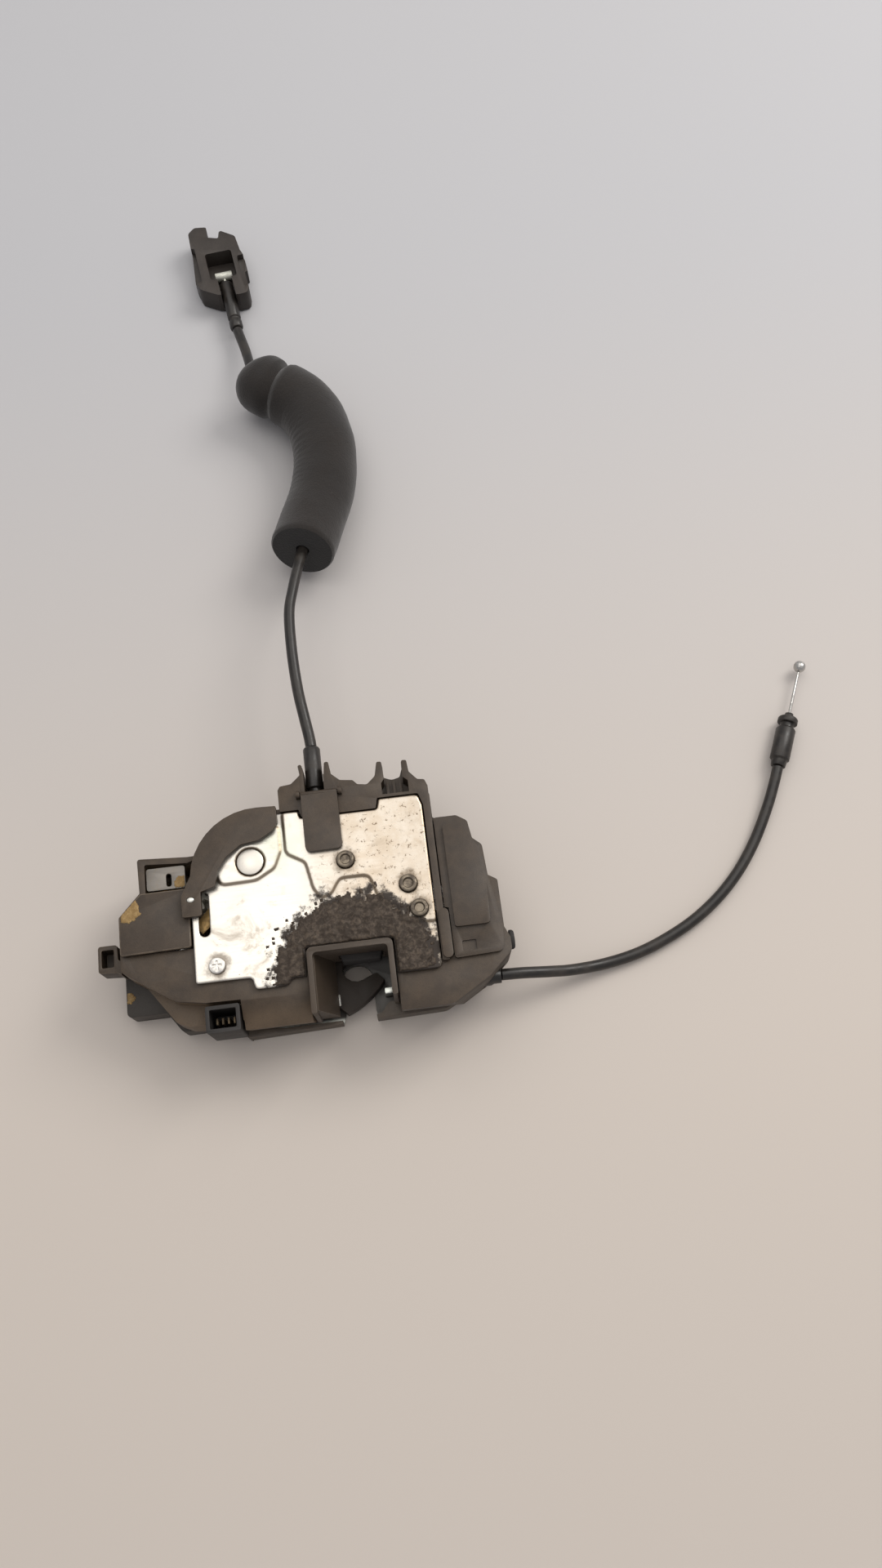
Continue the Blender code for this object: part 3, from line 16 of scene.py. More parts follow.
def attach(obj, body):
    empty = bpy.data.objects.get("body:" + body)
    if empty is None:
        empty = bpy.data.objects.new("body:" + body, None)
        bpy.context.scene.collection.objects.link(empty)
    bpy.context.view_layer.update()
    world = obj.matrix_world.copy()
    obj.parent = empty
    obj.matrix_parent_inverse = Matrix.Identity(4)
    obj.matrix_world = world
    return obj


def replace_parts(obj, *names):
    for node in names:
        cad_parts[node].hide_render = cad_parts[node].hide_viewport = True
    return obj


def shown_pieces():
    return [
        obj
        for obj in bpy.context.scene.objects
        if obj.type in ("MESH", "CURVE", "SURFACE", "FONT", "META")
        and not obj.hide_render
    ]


MM = 0.001
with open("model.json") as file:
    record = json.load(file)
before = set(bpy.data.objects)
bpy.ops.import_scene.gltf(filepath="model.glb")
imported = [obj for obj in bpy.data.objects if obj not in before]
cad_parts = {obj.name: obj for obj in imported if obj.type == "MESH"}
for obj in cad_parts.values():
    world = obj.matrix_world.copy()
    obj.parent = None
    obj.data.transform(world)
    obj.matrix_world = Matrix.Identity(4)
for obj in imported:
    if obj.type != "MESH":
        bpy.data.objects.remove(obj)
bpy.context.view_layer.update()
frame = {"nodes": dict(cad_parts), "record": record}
nodes = frame["nodes"]
bodies = frame["record"]["behaviour"]["bodies"]
body_of = {node: body for body, members in bodies.items() for node in members}

# The photograph's camera: focal length and height in its pixels, place, tilt and turn
FOCAL_PX, FRAME_PX = 1507, 1920
SENSOR_MM = 36.0
CAMERA_AT = (0.0373, -0.1159, 0.4756)
CAMERA_TILT, CAMERA_TURN = math.radians(19.0), math.radians(-7.2)

# Routes of the two cables, as in the part's source, the width of their covers and the spacing of points
# along them
INSIDE_ROUTE_MM = [
    (8.5, 57.9, 29.0), (8.1, 62.5, 29.0), (7.0, 70.5, 28.9), (5.4, 83.3, 28.5), (4.5, 100.8, 27.7),
    (4.8, 118.2, 26.2), (7.0, 129.3, 24.6), (9.4, 138.8, 22.8), (12.3, 149.4, 20.2), (15.7, 159.6, 17.4),
    (19.2, 169.2, 15.4), (22.6, 178.6, 14.3), (25.3, 190.0, 14.2), (26.0, 202.0, 14.2), (24.4, 213.6, 14.2),
    (19.9, 223.8, 14.2), (13.0, 231.0, 14.2), (5.6, 235.9, 14.2), (0.2, 241.4, 13.8), (-2.6, 248.6, 12.4),
    (-3.9, 256.6, 10.4), (-5.2, 264.2, 8.2), (-6.6, 270.6, 6.7), (-7.95, 276.4, 6.0),
]
OUTSIDE_ROUTE_MM = [
    (70.3, -36.5, 14.5), (78.5, -36.6, 13.4), (88.0, -36.8, 10.4), (98.0, -36.7, 6.8), (111.0, -35.4, 3.6),
    (124.4, -32.8, 2.6), (136.5, -28.6, 2.5), (149.0, -22.5, 2.5), (160.4, -14.6, 2.5), (170.6, -4.9, 2.5),
    (179.7, 6.9, 2.6), (187.2, 19.6, 3.3), (191.9, 29.2, 4.1), (194.45, 35.05, 4.4),
]
CONDUIT = 0.0044
CABLE_STEP = 0.0025

# Foam sleeve: reach and size, the crease near its far end, its rims, the wrinkles in its bend, its waves
FOAM_SPAN_Y = (0.149, 0.2435)
FOAM_RADIUS = 0.0136
FOAM_BORE = 0.0030
FOAM_STEP, FOAM_SIDES = 0.0011, 56
CREASE_FROM_END, CREASE_DEPTH, CREASE_WIDTH = 0.013, 0.0030, 0.0019
FAR_RIM_DEPTH, FAR_RIM_WIDTH = 0.0034, 0.0055
NEAR_RIM_DEPTH, NEAR_RIM_WIDTH = 0.0008, 0.0016
WRINKLE_HEIGHT, WRINKLES_AT, WRINKLES_REACH = 0.00022, 0.045, 0.028
WAVE_HEIGHT, RIPPLE_HEIGHT = 0.00032, 0.0001

# Back plate: height of its lower area, heights where its steps begin and end, heads with dirt round them
PLATE_TOP = 0.0338
STEP_FOOT, STEP_HEAD = (0.03384, 0.03398), (0.03449, 0.03434)
RIVETS = [
    (0.0425, -0.0118, 0.0345), (0.0395, -0.0021, 0.0345), (0.0174, 0.0098, 0.0345),
    (-0.0325, -0.0239, PLATE_TOP),
]
GREEN_TINT_AT = (-0.0065, 0.017, 0.0335)

# Dried grease: the middle of its ring, its reach, and the mouth that stays clear of it
GREASE_AT_MM = (18.3, -34.0)
GREASE_REACH_MM = 29.5
GREASE_BOX_MM = ((-21.0, -34.0), (48.0, 4.0))
MOUTH_X_MM, MOUTH_TOP_MM = (-1.2, 32.4), -21.0
# Smears of ochre paint: place, half size and seed of each
OCHRE_MM = {
    "ochre_chamfer": ((-63.2, 0.6), (3.4, 4.2), 11.0),
    "ochre_flange": ((-70.0, -27.2), (1.9, 1.9), 12.0),
    "ochre_pocket": ((-44.6, 9.4), (1.8, 2.8), 13.0),
    "ochre_pillar": ((50.6, -20.6), (0.9, 1.5), 14.0),
}
OCHRE_THICK_MM, OCHRE_MARGIN_MM = 0.16, 7.0
THINNEST_MM = 0.03

# Edges sharper than this are rounded
SHARP = math.radians(32.0)

# Stage: half the floor's side, its level under the part, and where it fades into the pale surroundings
FLOOR_HALF, FLOOR_Z = 40.0, -0.0003
FLOOR_FADE = (0.6, 1.5)
FLOOR_NEAR, FLOOR_FAR = (0.605, 0.545, 0.490), (0.490, 0.490, 0.505)
LAMPS = (
    # name, place, size, watts, colour
    ("overhead", (0.05, 0.55, 1.5), 2.0, 13.0, (1.0, 0.965, 0.91)),
    ("window", (-0.27, 0.43, 1.75), 0.5, 0.8, (1.0, 0.98, 0.95)),
    ("key", (0.9, 0.6, 0.9), 0.6, 8.0, (1.0, 0.97, 0.93)),
)
SKY_COLOUR, SKY_STRENGTH = (0.98, 0.97, 1.0, 1.0), 0.46
BACKGROUND = (0.56, 0.53, 0.50, 1.0)


def make_camera():
    """The photograph's own view: almost straight down, from the striker's side."""
    data = bpy.data.cameras.new("camera")
    data.sensor_fit = "AUTO"
    data.sensor_width = SENSOR_MM
    data.lens = SENSOR_MM * FOCAL_PX / FRAME_PX
    data.clip_start = 0.01
    camera = bpy.data.objects.new("camera", data)
    camera.location = CAMERA_AT
    camera.rotation_euler = (CAMERA_TILT, 0.0, CAMERA_TURN)
    bpy.context.scene.collection.objects.link(camera)
    bpy.context.scene.camera = camera


class Finish:
    """One procedural material, built node by node on the object's own coordinates."""

    def __init__(self, name):
        self.material = bpy.data.materials.new(name)
        self.material.use_nodes = True
        self.tree = self.material.node_tree
        self.shader = self.tree.nodes["Principled BSDF"]
        where = self.node("ShaderNodeTexCoord")
        self.place = where.outputs["Object"]
        self.normal = where.outputs["Normal"]

    def node(self, kind, **settings):
        made = self.tree.nodes.new(kind)
        for name, value in settings.items():
            setattr(made, name, value)
        return made

    def feed(self, socket, value):
        if isinstance(value, bpy.types.NodeSocket):
            self.tree.links.new(value, socket)
        elif isinstance(value, tuple) and socket.type == "RGBA":
            socket.default_value = (*value, 1.0)
        else:
            socket.default_value = value

    def set(self, **values):
        """Shader inputs by name, with _ for a space."""
        for name, value in values.items():
            self.feed(self.shader.inputs[name.replace("_", " ")], value)
        return self

    def stretched(self, scale):
        mapped = self.node("ShaderNodeMapping")
        self.feed(mapped.inputs["Vector"], self.place)
        mapped.inputs["Scale"].default_value = scale
        return mapped.outputs["Vector"]

    def noise(self, scale, detail=4.0, roughness=0.55, distortion=0.0, place=None):
        made = self.node("ShaderNodeTexNoise")
        self.feed(made.inputs["Vector"], place or self.place)
        made.inputs["Scale"].default_value = scale
        made.inputs["Detail"].default_value = detail
        made.inputs["Roughness"].default_value = roughness
        made.inputs["Distortion"].default_value = distortion
        return made.outputs["Fac"]

    def cells(self, scale):
        made = self.node("ShaderNodeTexVoronoi", feature="F1")
        self.feed(made.inputs["Vector"], self.place)
        made.inputs["Scale"].default_value = scale
        return made.outputs["Distance"]

    def span(self, value, low, high, to=(0.0, 1.0)):
        """The value between low and high, carried smoothly over to another range."""
        made = self.node("ShaderNodeMapRange", interpolation_type="SMOOTHSTEP")
        given = {"Value": value, "From Min": low, "From Max": high, "To Min": to[0], "To Max": to[1]}
        for name, number in given.items():
            self.feed(made.inputs[name], number)
        return made.outputs["Result"]

    def maths(self, operation, a, b=0.0):
        made = self.node("ShaderNodeMath", operation=operation, use_clamp=operation == "MULTIPLY")
        self.feed(made.inputs[0], a)
        self.feed(made.inputs[1], b)
        return made.outputs[0]

    def mix(self, share, a, b):
        made = self.node("ShaderNodeMix", data_type="RGBA", clamp_factor=True)
        self.feed(made.inputs["Factor"], share)
        self.feed(made.inputs[6], a)
        self.feed(made.inputs[7], b)
        return made.outputs[2]

    def axis(self, name):
        made = self.node("ShaderNodeSeparateXYZ")
        self.feed(made.inputs[0], self.place)
        return made.outputs[name]

    def upward(self):
        """1 on faces that look up, 0 on walls and undersides."""
        made = self.node("ShaderNodeSeparateXYZ")
        self.feed(made.inputs[0], self.normal)
        return self.span(made.outputs["Z"], 0.35, 0.95)

    def near(self, point, inside, outside, ragged):
        """1 close to a point, 0 away from it, with an uneven edge."""
        made = self.node("ShaderNodeVectorMath", operation="DISTANCE")
        self.feed(made.inputs[0], self.place)
        made.inputs[1].default_value = point
        edge = self.span(self.noise(210.0, 6.0, 0.7), 0.2, 0.8, (-ragged, ragged))
        return self.span(self.maths("ADD", made.outputs["Value"], edge), outside, inside)

    def bump(self, height, distance, strength=1.0):
        made = self.node("ShaderNodeBump")
        made.inputs["Strength"].default_value = strength
        made.inputs["Distance"].default_value = distance
        self.feed(made.inputs["Height"], height)
        last = self.shader.inputs["Normal"]
        if last.is_linked:
            self.feed(made.inputs["Normal"], last.links[0].from_socket)
        self.feed(last, made.outputs["Normal"])
        return self


def times(share, colour):
    return tuple(share * c for c in colour)


def dusty_plastic(name, dark, dust, amount, gloss=0.5, paler_below=0.0, left_shadow=0.0):
    """Moulded plastic: fine grain, cloudy tone, dust that lies on what looks up, and a few pale scuffs.

    paler_below makes the faces below the top paler on the left and in the middle; left_shadow puts a
    painted shadow over the left end.
    """
    f = Finish(name)
    clouds = f.noise(42.0, 5.0, 0.6)
    grains = f.noise(2600.0, 3.0, 0.6)
    tone = f.mix(f.span(clouds, 0.3, 0.7), dark, times(1.5, dark))
    settled = f.maths("MULTIPLY", f.upward(), f.span(f.noise(120.0, 8.0, 0.72), 0.32, 0.72, (0.3, 1.0)))
    tone = f.mix(f.maths("MULTIPLY", settled, amount), tone, dust)
    if paler_below:
        # Paler below the top faces, on the left and in the middle.
        lower = f.span(f.axis("Z"), 0.0318, 0.0270, (0.0, paler_below))
        lower = f.maths("MULTIPLY", lower, f.span(f.axis("X"), 0.036, 0.004, (0.1, 1.0)))
        cloudy = f.maths("MULTIPLY", lower, f.span(clouds, 0.3, 0.6, (0.5, 1.0)))
        tone = f.mix(cloudy, tone, times(1.5, dust))
    if left_shadow:
        # Painted shadow over the left end.
        left = f.span(f.axis("X"), -0.030, -0.052, (0.0, left_shadow))
        tone = f.mix(left, tone, times(0.35, dark))
    streaks = f.noise(9.0, 6.0, 0.75, 1.2, f.stretched((30.0, 6.0, 12.0)))
    tone = f.mix(f.span(streaks, 0.66, 0.76, (0.0, 0.45)), tone, times(1.25, dust))
    tone = f.mix(f.span(grains, 0.56, 0.74, (0.0, 0.5)), tone, times(0.5, dark))
    rough = f.span(clouds, 0.25, 0.75, (gloss - 0.06, gloss + 0.12))
    f.set(Base_Color=tone, Roughness=rough)
    f.bump(grains, 0.00009, 0.5)
    f.bump(f.noise(700.0, 4.0, 0.6), 0.00012, 0.3)
    return f.material


def highlit_rubbed_plastic(name, tone):
    """Edges of the plastic: paler, as a painted highlight with some rub, and a little smoother."""
    f = Finish(name)
    rub = f.span(f.noise(330.0, 6.0, 0.7), 0.35, 0.7)
    colour = f.mix(rub, times(0.55, tone), tone)
    f.set(Base_Color=colour, Roughness=f.span(rub, 0.0, 1.0, (0.55, 0.4)))
    f.bump(f.noise(1800.0, 3.0), 0.00006, 0.4)
    return f.material


def zinc(name, bright=(0.80, 0.77, 0.72), dirt=0.5, rough=(0.26, 0.42)):
    """Zinc plated sheet steel: cloudy plating, rolling lines, smudges, specks of dirt."""
    f = Finish(name)
    clouds = f.noise(26.0, 6.0, 0.62, 0.6)
    tone = f.mix(f.span(clouds, 0.3, 0.7), times(0.88, bright), bright)
    smudge = f.span(f.noise(75.0, 9.0, 0.75, 0.8), 0.52, 0.74, (0.0, dirt))
    tone = f.mix(smudge, tone, (0.36, 0.28, 0.19))
    specks = f.span(f.noise(950.0, 3.0, 0.7), 0.66, 0.72)
    specks = f.maths("MULTIPLY", specks, f.span(f.noise(60.0, 5.0), 0.42, 0.62))
    tone = f.mix(f.maths("MULTIPLY", specks, 1.2 * dirt), tone, (0.09, 0.065, 0.045))
    lines = f.noise(1.0, 4.0, 0.6, 0.0, f.stretched((60.0, 2600.0, 60.0)))
    gloss = f.maths("ADD", f.span(clouds, 0.25, 0.75, rough), f.span(lines, 0.3, 0.7, (-0.04, 0.04)))
    gloss = f.maths("ADD", gloss, f.maths("MULTIPLY", smudge, 0.35))
    f.set(Base_Color=tone, Metallic=f.span(smudge, 0.0, 1.0, (0.95, 0.6)), Roughness=gloss)
    f.bump(lines, 0.000012, 0.4)
    f.bump(f.noise(160.0, 5.0, 0.6), 0.00008, 0.25)
    return f


def plate_zinc():
    """The back plate: clean and pale on the left, warmer and smudged on the right, black near the mouth."""
    f = zinc("back_plate_zinc", (0.76, 0.72, 0.65), dirt=0.6)
    tone = f.shader.inputs["Base Color"].links[0].from_socket
    gloss = f.shader.inputs["Roughness"].links[0].from_socket
    metal = f.shader.inputs["Metallic"].links[0].from_socket
    right = f.span(f.axis("X"), -0.004, 0.020)
    warm = f.maths("MULTIPLY", right, f.span(f.noise(110.0, 8.0, 0.7), 0.35, 0.65, (0.55, 1.0)))
    tone = f.mix(f.maths("MULTIPLY", warm, 0.85), tone, (0.50, 0.41, 0.31))
    flecks = f.maths("MULTIPLY", right, f.span(f.noise(520.0, 4.0, 0.75, 0.4), 0.575, 0.64))
    tone = f.mix(f.maths("MULTIPLY", flecks, 0.8), tone, (0.13, 0.09, 0.055))
    tint = f.near(GREEN_TINT_AT, 0.004, 0.011, 0.004)
    tone = f.mix(f.maths("MULTIPLY", tint, 0.35), tone, (0.50, 0.60, 0.46))
    # Dirt and painted shade in the pressed steps of the plate.
    step = f.maths("MULTIPLY", f.span(f.axis("Z"), *STEP_FOOT), f.span(f.axis("Z"), *STEP_HEAD))
    tone = f.mix(f.maths("MULTIPLY", step, 0.75), tone, (0.24, 0.17, 0.10))
    for rivet in RIVETS:
        ring = f.near(rivet, 0.0026, 0.0060, 0.0018)
        tone = f.mix(f.maths("MULTIPLY", ring, 0.75), tone, (0.10, 0.072, 0.046))
    stain = f.near((GREASE_AT_MM[0] * MM, GREASE_AT_MM[1] * MM, PLATE_TOP), 0.029, 0.034, 0.006)
    tone = f.mix(stain, tone, (0.040, 0.030, 0.023))
    gloss = f.maths("ADD", gloss, f.maths("MULTIPLY", stain, 0.4))
    metal = f.maths("MULTIPLY", metal, f.span(stain, 0.0, 1.0, (1.0, 0.1)))
    return f.set(Base_Color=tone, Roughness=gloss, Metallic=metal).material


def mouth_steel():
    """The plate under the claw: black with old grease and painted shade where it lies deep, more so away
    from its front edge, and bright on its tab.
    """
    f = zinc("mouth_steel", (0.78, 0.80, 0.74), 0.5)
    tone = f.shader.inputs["Base Color"].links[0].from_socket
    # Painted shade with old grease: black low in the mouth, strongest behind the front edge.
    deep = f.span(f.axis("Z"), 0.0085, 0.0055)
    edge = f.span(f.axis("Y"), -0.0445, -0.0425)
    grime = f.maths("MULTIPLY", deep, f.span(edge, 0.0, 1.0, (0.35, 0.93)))
    tone = f.mix(grime, tone, (0.034, 0.024, 0.016))
    return f.set(Base_Color=tone, Metallic=f.span(grime, 0.0, 1.0, (0.9, 0.1))).material


def plain_metal(name, tone, grime, rough, metallic=0.95):
    """Small steel or brass pieces: mottled tone with grime in patches."""
    f = Finish(name)
    patches = f.span(f.noise(240.0, 7.0, 0.7), 0.4, 0.68)
    fine = f.noise(1500.0, 4.0, 0.6)
    colour = f.mix(f.span(fine, 0.3, 0.7), times(0.85, tone), tone)
    colour = f.mix(f.maths("MULTIPLY", patches, grime), colour, (0.07, 0.052, 0.038))
    f.set(Base_Color=colour, Roughness=f.span(patches, 0.0, 1.0, (rough, rough + 0.3)))
    f.set(Metallic=f.span(f.maths("MULTIPLY", patches, grime), 0.0, 1.0, (metallic, 0.2)))
    f.bump(fine, 0.00004, 0.4)
    return f.material


def foam_finish(name, tone):
    """Closed cell foam: matt, pitted, with faint paler wrinkles."""
    f = Finish(name)
    pores = f.cells(1500.0)
    clouds = f.noise(55.0, 6.0, 0.65)
    colour = f.mix(f.span(clouds, 0.3, 0.7), times(0.7, tone), times(1.25, tone))
    colour = f.mix(f.span(pores, 0.25, 0.6, (0.0, 0.45)), colour, times(0.5, tone))
    lint = f.span(f.noise(430.0, 6.0, 0.8, 0.5), 0.66, 0.74, (0.0, 0.35))
    colour = f.mix(lint, colour, (0.16, 0.15, 0.14))
    f.set(Base_Color=colour, Roughness=f.span(clouds, 0.2, 0.8, (0.82, 0.96)))
    f.shader.inputs["Sheen Weight"].default_value = 0.25
    f.bump(pores, 0.00016, 0.6)
    f.bump(f.noise(260.0, 5.0, 0.6), 0.0002, 0.3)
    return f.material


def conduit_finish(name):
    """Satin black cable cover with faint draw lines and rubbed dust."""
    f = Finish(name)
    rub = f.span(f.noise(130.0, 7.0, 0.7), 0.4, 0.72)
    fine = f.noise(1900.0, 3.0)
    tone = f.mix(f.maths("MULTIPLY", rub, 0.6), (0.0125, 0.0105, 0.0090), (0.048, 0.039, 0.031))
    f.set(Base_Color=tone, Roughness=f.span(rub, 0.0, 1.0, (0.34, 0.55)))
    f.bump(fine, 0.00005, 0.35)
    return f.material


def crust_finish(name, dark, pale):
    """Dried grease or paint: broken tone, lumps and dull gloss."""
    f = Finish(name)
    lumps = f.noise(620.0, 7.0, 0.72, 0.4)
    colour = f.mix(f.span(lumps, 0.42, 0.72), dark, pale)
    f.set(Base_Color=colour, Roughness=f.span(lumps, 0.3, 0.7, (0.85, 0.55)))
    f.bump(lumps, 0.0003, 0.7)
    f.bump(f.noise(2400.0, 3.0), 0.0001, 0.4)
    return f.material


def make_finishes():
    """Every finish of the part, by a short name."""
    case_dark, case_dust = (0.024, 0.0155, 0.0092), (0.094, 0.064, 0.038)
    cover_dark, cover_dust = (0.022, 0.0142, 0.0085), (0.082, 0.056, 0.034)
    skirt_dark, skirt_dust = (0.055, 0.042, 0.030), (0.14, 0.108, 0.078)
    # The edge and rim finishes are paler than the faces: a painted highlight with some rub.
    return {
        "case": dusty_plastic("case_plastic", case_dark, case_dust, 0.62, paler_below=0.85),
        "case_edge": highlit_rubbed_plastic("case_edge", (0.150, 0.113, 0.078)),
        "cover": dusty_plastic("cover_plastic", cover_dark, cover_dust, 0.66),
        "cover_edge": highlit_rubbed_plastic("cover_edge", (0.155, 0.117, 0.082)),
        "deep": dusty_plastic("mouth_plastic", (0.036, 0.025, 0.016), (0.092, 0.066, 0.044), 0.5),
        # The skirt's left end carries a painted shadow.
        "skirt": dusty_plastic("skirt_plastic", skirt_dark, skirt_dust, 0.6, left_shadow=0.8),
        "rim": highlit_rubbed_plastic("mouth_rim", (0.150, 0.118, 0.086)),
        "mouth_steel": mouth_steel(),
        "dirty_brass": plain_metal("dirty_brass", (0.16, 0.12, 0.07), 0.9, 0.5, 0.7),
        "clip": dusty_plastic("clip_plastic", (0.017, 0.0127, 0.0098), (0.056, 0.043, 0.034), 0.5),
        "clip_edge": highlit_rubbed_plastic("clip_edge", (0.085, 0.068, 0.056)),
        "plate": plate_zinc(),
        "zinc": zinc("zinc_steel").material,
        "grimy_zinc": zinc("grimy_zinc", (0.27, 0.25, 0.225), 0.8, (0.5, 0.65)).material,
        "rivet": plain_metal("rivet_zinc", (0.25, 0.21, 0.16), 0.95, 0.38),
        "yellow": plain_metal("yellow_chromate", (0.46, 0.30, 0.12), 0.45, 0.42, 0.75),
        "steel": plain_metal("bare_steel", (0.56, 0.55, 0.53), 0.3, 0.3),
        "coated": dusty_plastic("coated_steel", (0.011, 0.0095, 0.0085), (0.036, 0.029, 0.024), 0.35, 0.5),
        "claw": dusty_plastic("claw_coating", (0.018, 0.0125, 0.0085), (0.048, 0.034, 0.023), 0.35, 0.62),
        "spring": plain_metal("spring_steel", (0.36, 0.35, 0.33), 0.4, 0.3),
        "rubber": dusty_plastic("bumper_rubber", (0.018, 0.017, 0.016), (0.06, 0.05, 0.045), 0.4, 0.75),
        "foam": foam_finish("foam", (0.0152, 0.0114, 0.0092)),
        "foam_end": foam_finish("foam_end", (0.0085, 0.0075, 0.007)),
        "conduit": conduit_finish("conduit_plastic"),
        "gear": dusty_plastic("gear_plastic", (0.42, 0.40, 0.34), (0.62, 0.58, 0.48), 0.4, 0.4),
        "brass": plain_metal("brass", (0.68, 0.50, 0.22), 0.35, 0.32),
        "board": dusty_plastic("circuit_board", (0.025, 0.10, 0.05), (0.10, 0.13, 0.09), 0.4, 0.4),
        "bright": plain_metal("bright_steel", (0.88, 0.87, 0.80), 0.1, 0.3, 0.6),
        "nipple": plain_metal("pale_nipple", (0.74, 0.74, 0.66), 0.15, 0.4, 0.5),
        "grease": crust_finish("dried_grease", (0.030, 0.0195, 0.0118), (0.092, 0.063, 0.039)),
        "ochre": crust_finish("ochre_paint", (0.25, 0.155, 0.055), (0.42, 0.28, 0.11)),
    }


def welded(node):
    """A bmesh of a CAD node with its corners joined and its flat faces whole."""
    mesh = bmesh.new()
    mesh.from_mesh(nodes[node].data)
    bmesh.ops.remove_doubles(mesh, verts=mesh.verts, dist=2e-6)
    bmesh.ops.dissolve_limit(mesh, angle_limit=math.radians(0.6), verts=mesh.verts, edges=mesh.edges)
    return mesh


def new_piece(name, mesh, body, slot, *finishes):
    """Object from a bmesh, riding on a body."""
    data = bpy.data.meshes.new(name)
    mesh.to_mesh(data)
    mesh.free()
    data.shade_smooth()
    for finish in finishes:
        data.materials.append(finish)
    obj = bpy.data.objects.new(name, data)
    bpy.context.scene.collection.objects.link(obj)
    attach(obj, body)
    return obj


def soften(node, slot, width_mm, finish, edge=None, segments=2):
    """A copy of a CAD node with rounded edges, which can have a finish of their own."""
    piece = new_piece(f"{node}_form", welded(node), body_of[node], slot, finish, edge or finish)
    bevel = piece.modifiers.new("round_edges", "BEVEL")
    bevel.width = width_mm * MM
    bevel.segments = segments
    bevel.limit_method = "ANGLE"
    bevel.angle_limit = SHARP
    bevel.material = 1
    bevel.use_clamp_overlap = True
    bevel.harden_normals = True
    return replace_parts(piece, node)


def paint(node, finish):
    """A CAD node that keeps its shape gets a procedural finish."""
    for slot in nodes[node].material_slots:
        slot.material = finish


def smooth_route(points_mm, spacing):
    """Points at an even spacing on a smooth curve through the route's own points, in metres."""
    route = [Vector(p) * MM for p in points_mm]
    route = [2 * route[0] - route[1], *route, 2 * route[-1] - route[-2]]
    dense = []
    for a, b, c, d in zip(route, route[1:], route[2:], route[3:]):
        for i in range(24):
            t = i / 24
            bend = (2 * a - 5 * b + 4 * c - d) * t**2 + (3 * b - a - 3 * c + d) * t**3
            dense.append(b + 0.5 * ((c - a) * t + bend))
    dense.append(route[-2])
    lengths = [0.0]
    for a, b in zip(dense, dense[1:]):
        lengths.append(lengths[-1] + (b - a).length)
    count = round(lengths[-1] / spacing)
    even, j = [], 0
    for i in range(count + 1):
        want = lengths[-1] * i / count
        while j < len(lengths) - 2 and lengths[j + 1] < want:
            j += 1
        even.append(dense[j].lerp(dense[j + 1], (want - lengths[j]) / (lengths[j + 1] - lengths[j])))
    return even, lengths[-1]


def make_cable(name, node, points_mm, finish):
    """Cable cover on its route, as one open curve."""
    points, measured = smooth_route(points_mm, CABLE_STEP)
    print(f"{name}: {measured:.4f} m along its route")
    curve = bpy.data.curves.new(name, "CURVE")
    curve.dimensions = "3D"
    curve.bevel_depth = CONDUIT / 2
    curve.bevel_resolution = 5
    curve.use_fill_caps = True
    spline = curve.splines.new("POLY")
    spline.points.add(len(points) - 1)
    for knot, point in zip(spline.points, points):
        knot.co = (*point, 1.0)
    spline.use_smooth = True
    curve.materials.append(finish)
    obj = bpy.data.objects.new(name, curve)
    bpy.context.scene.collection.objects.link(obj)
    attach(obj, body_of[node])
    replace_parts(obj, node)


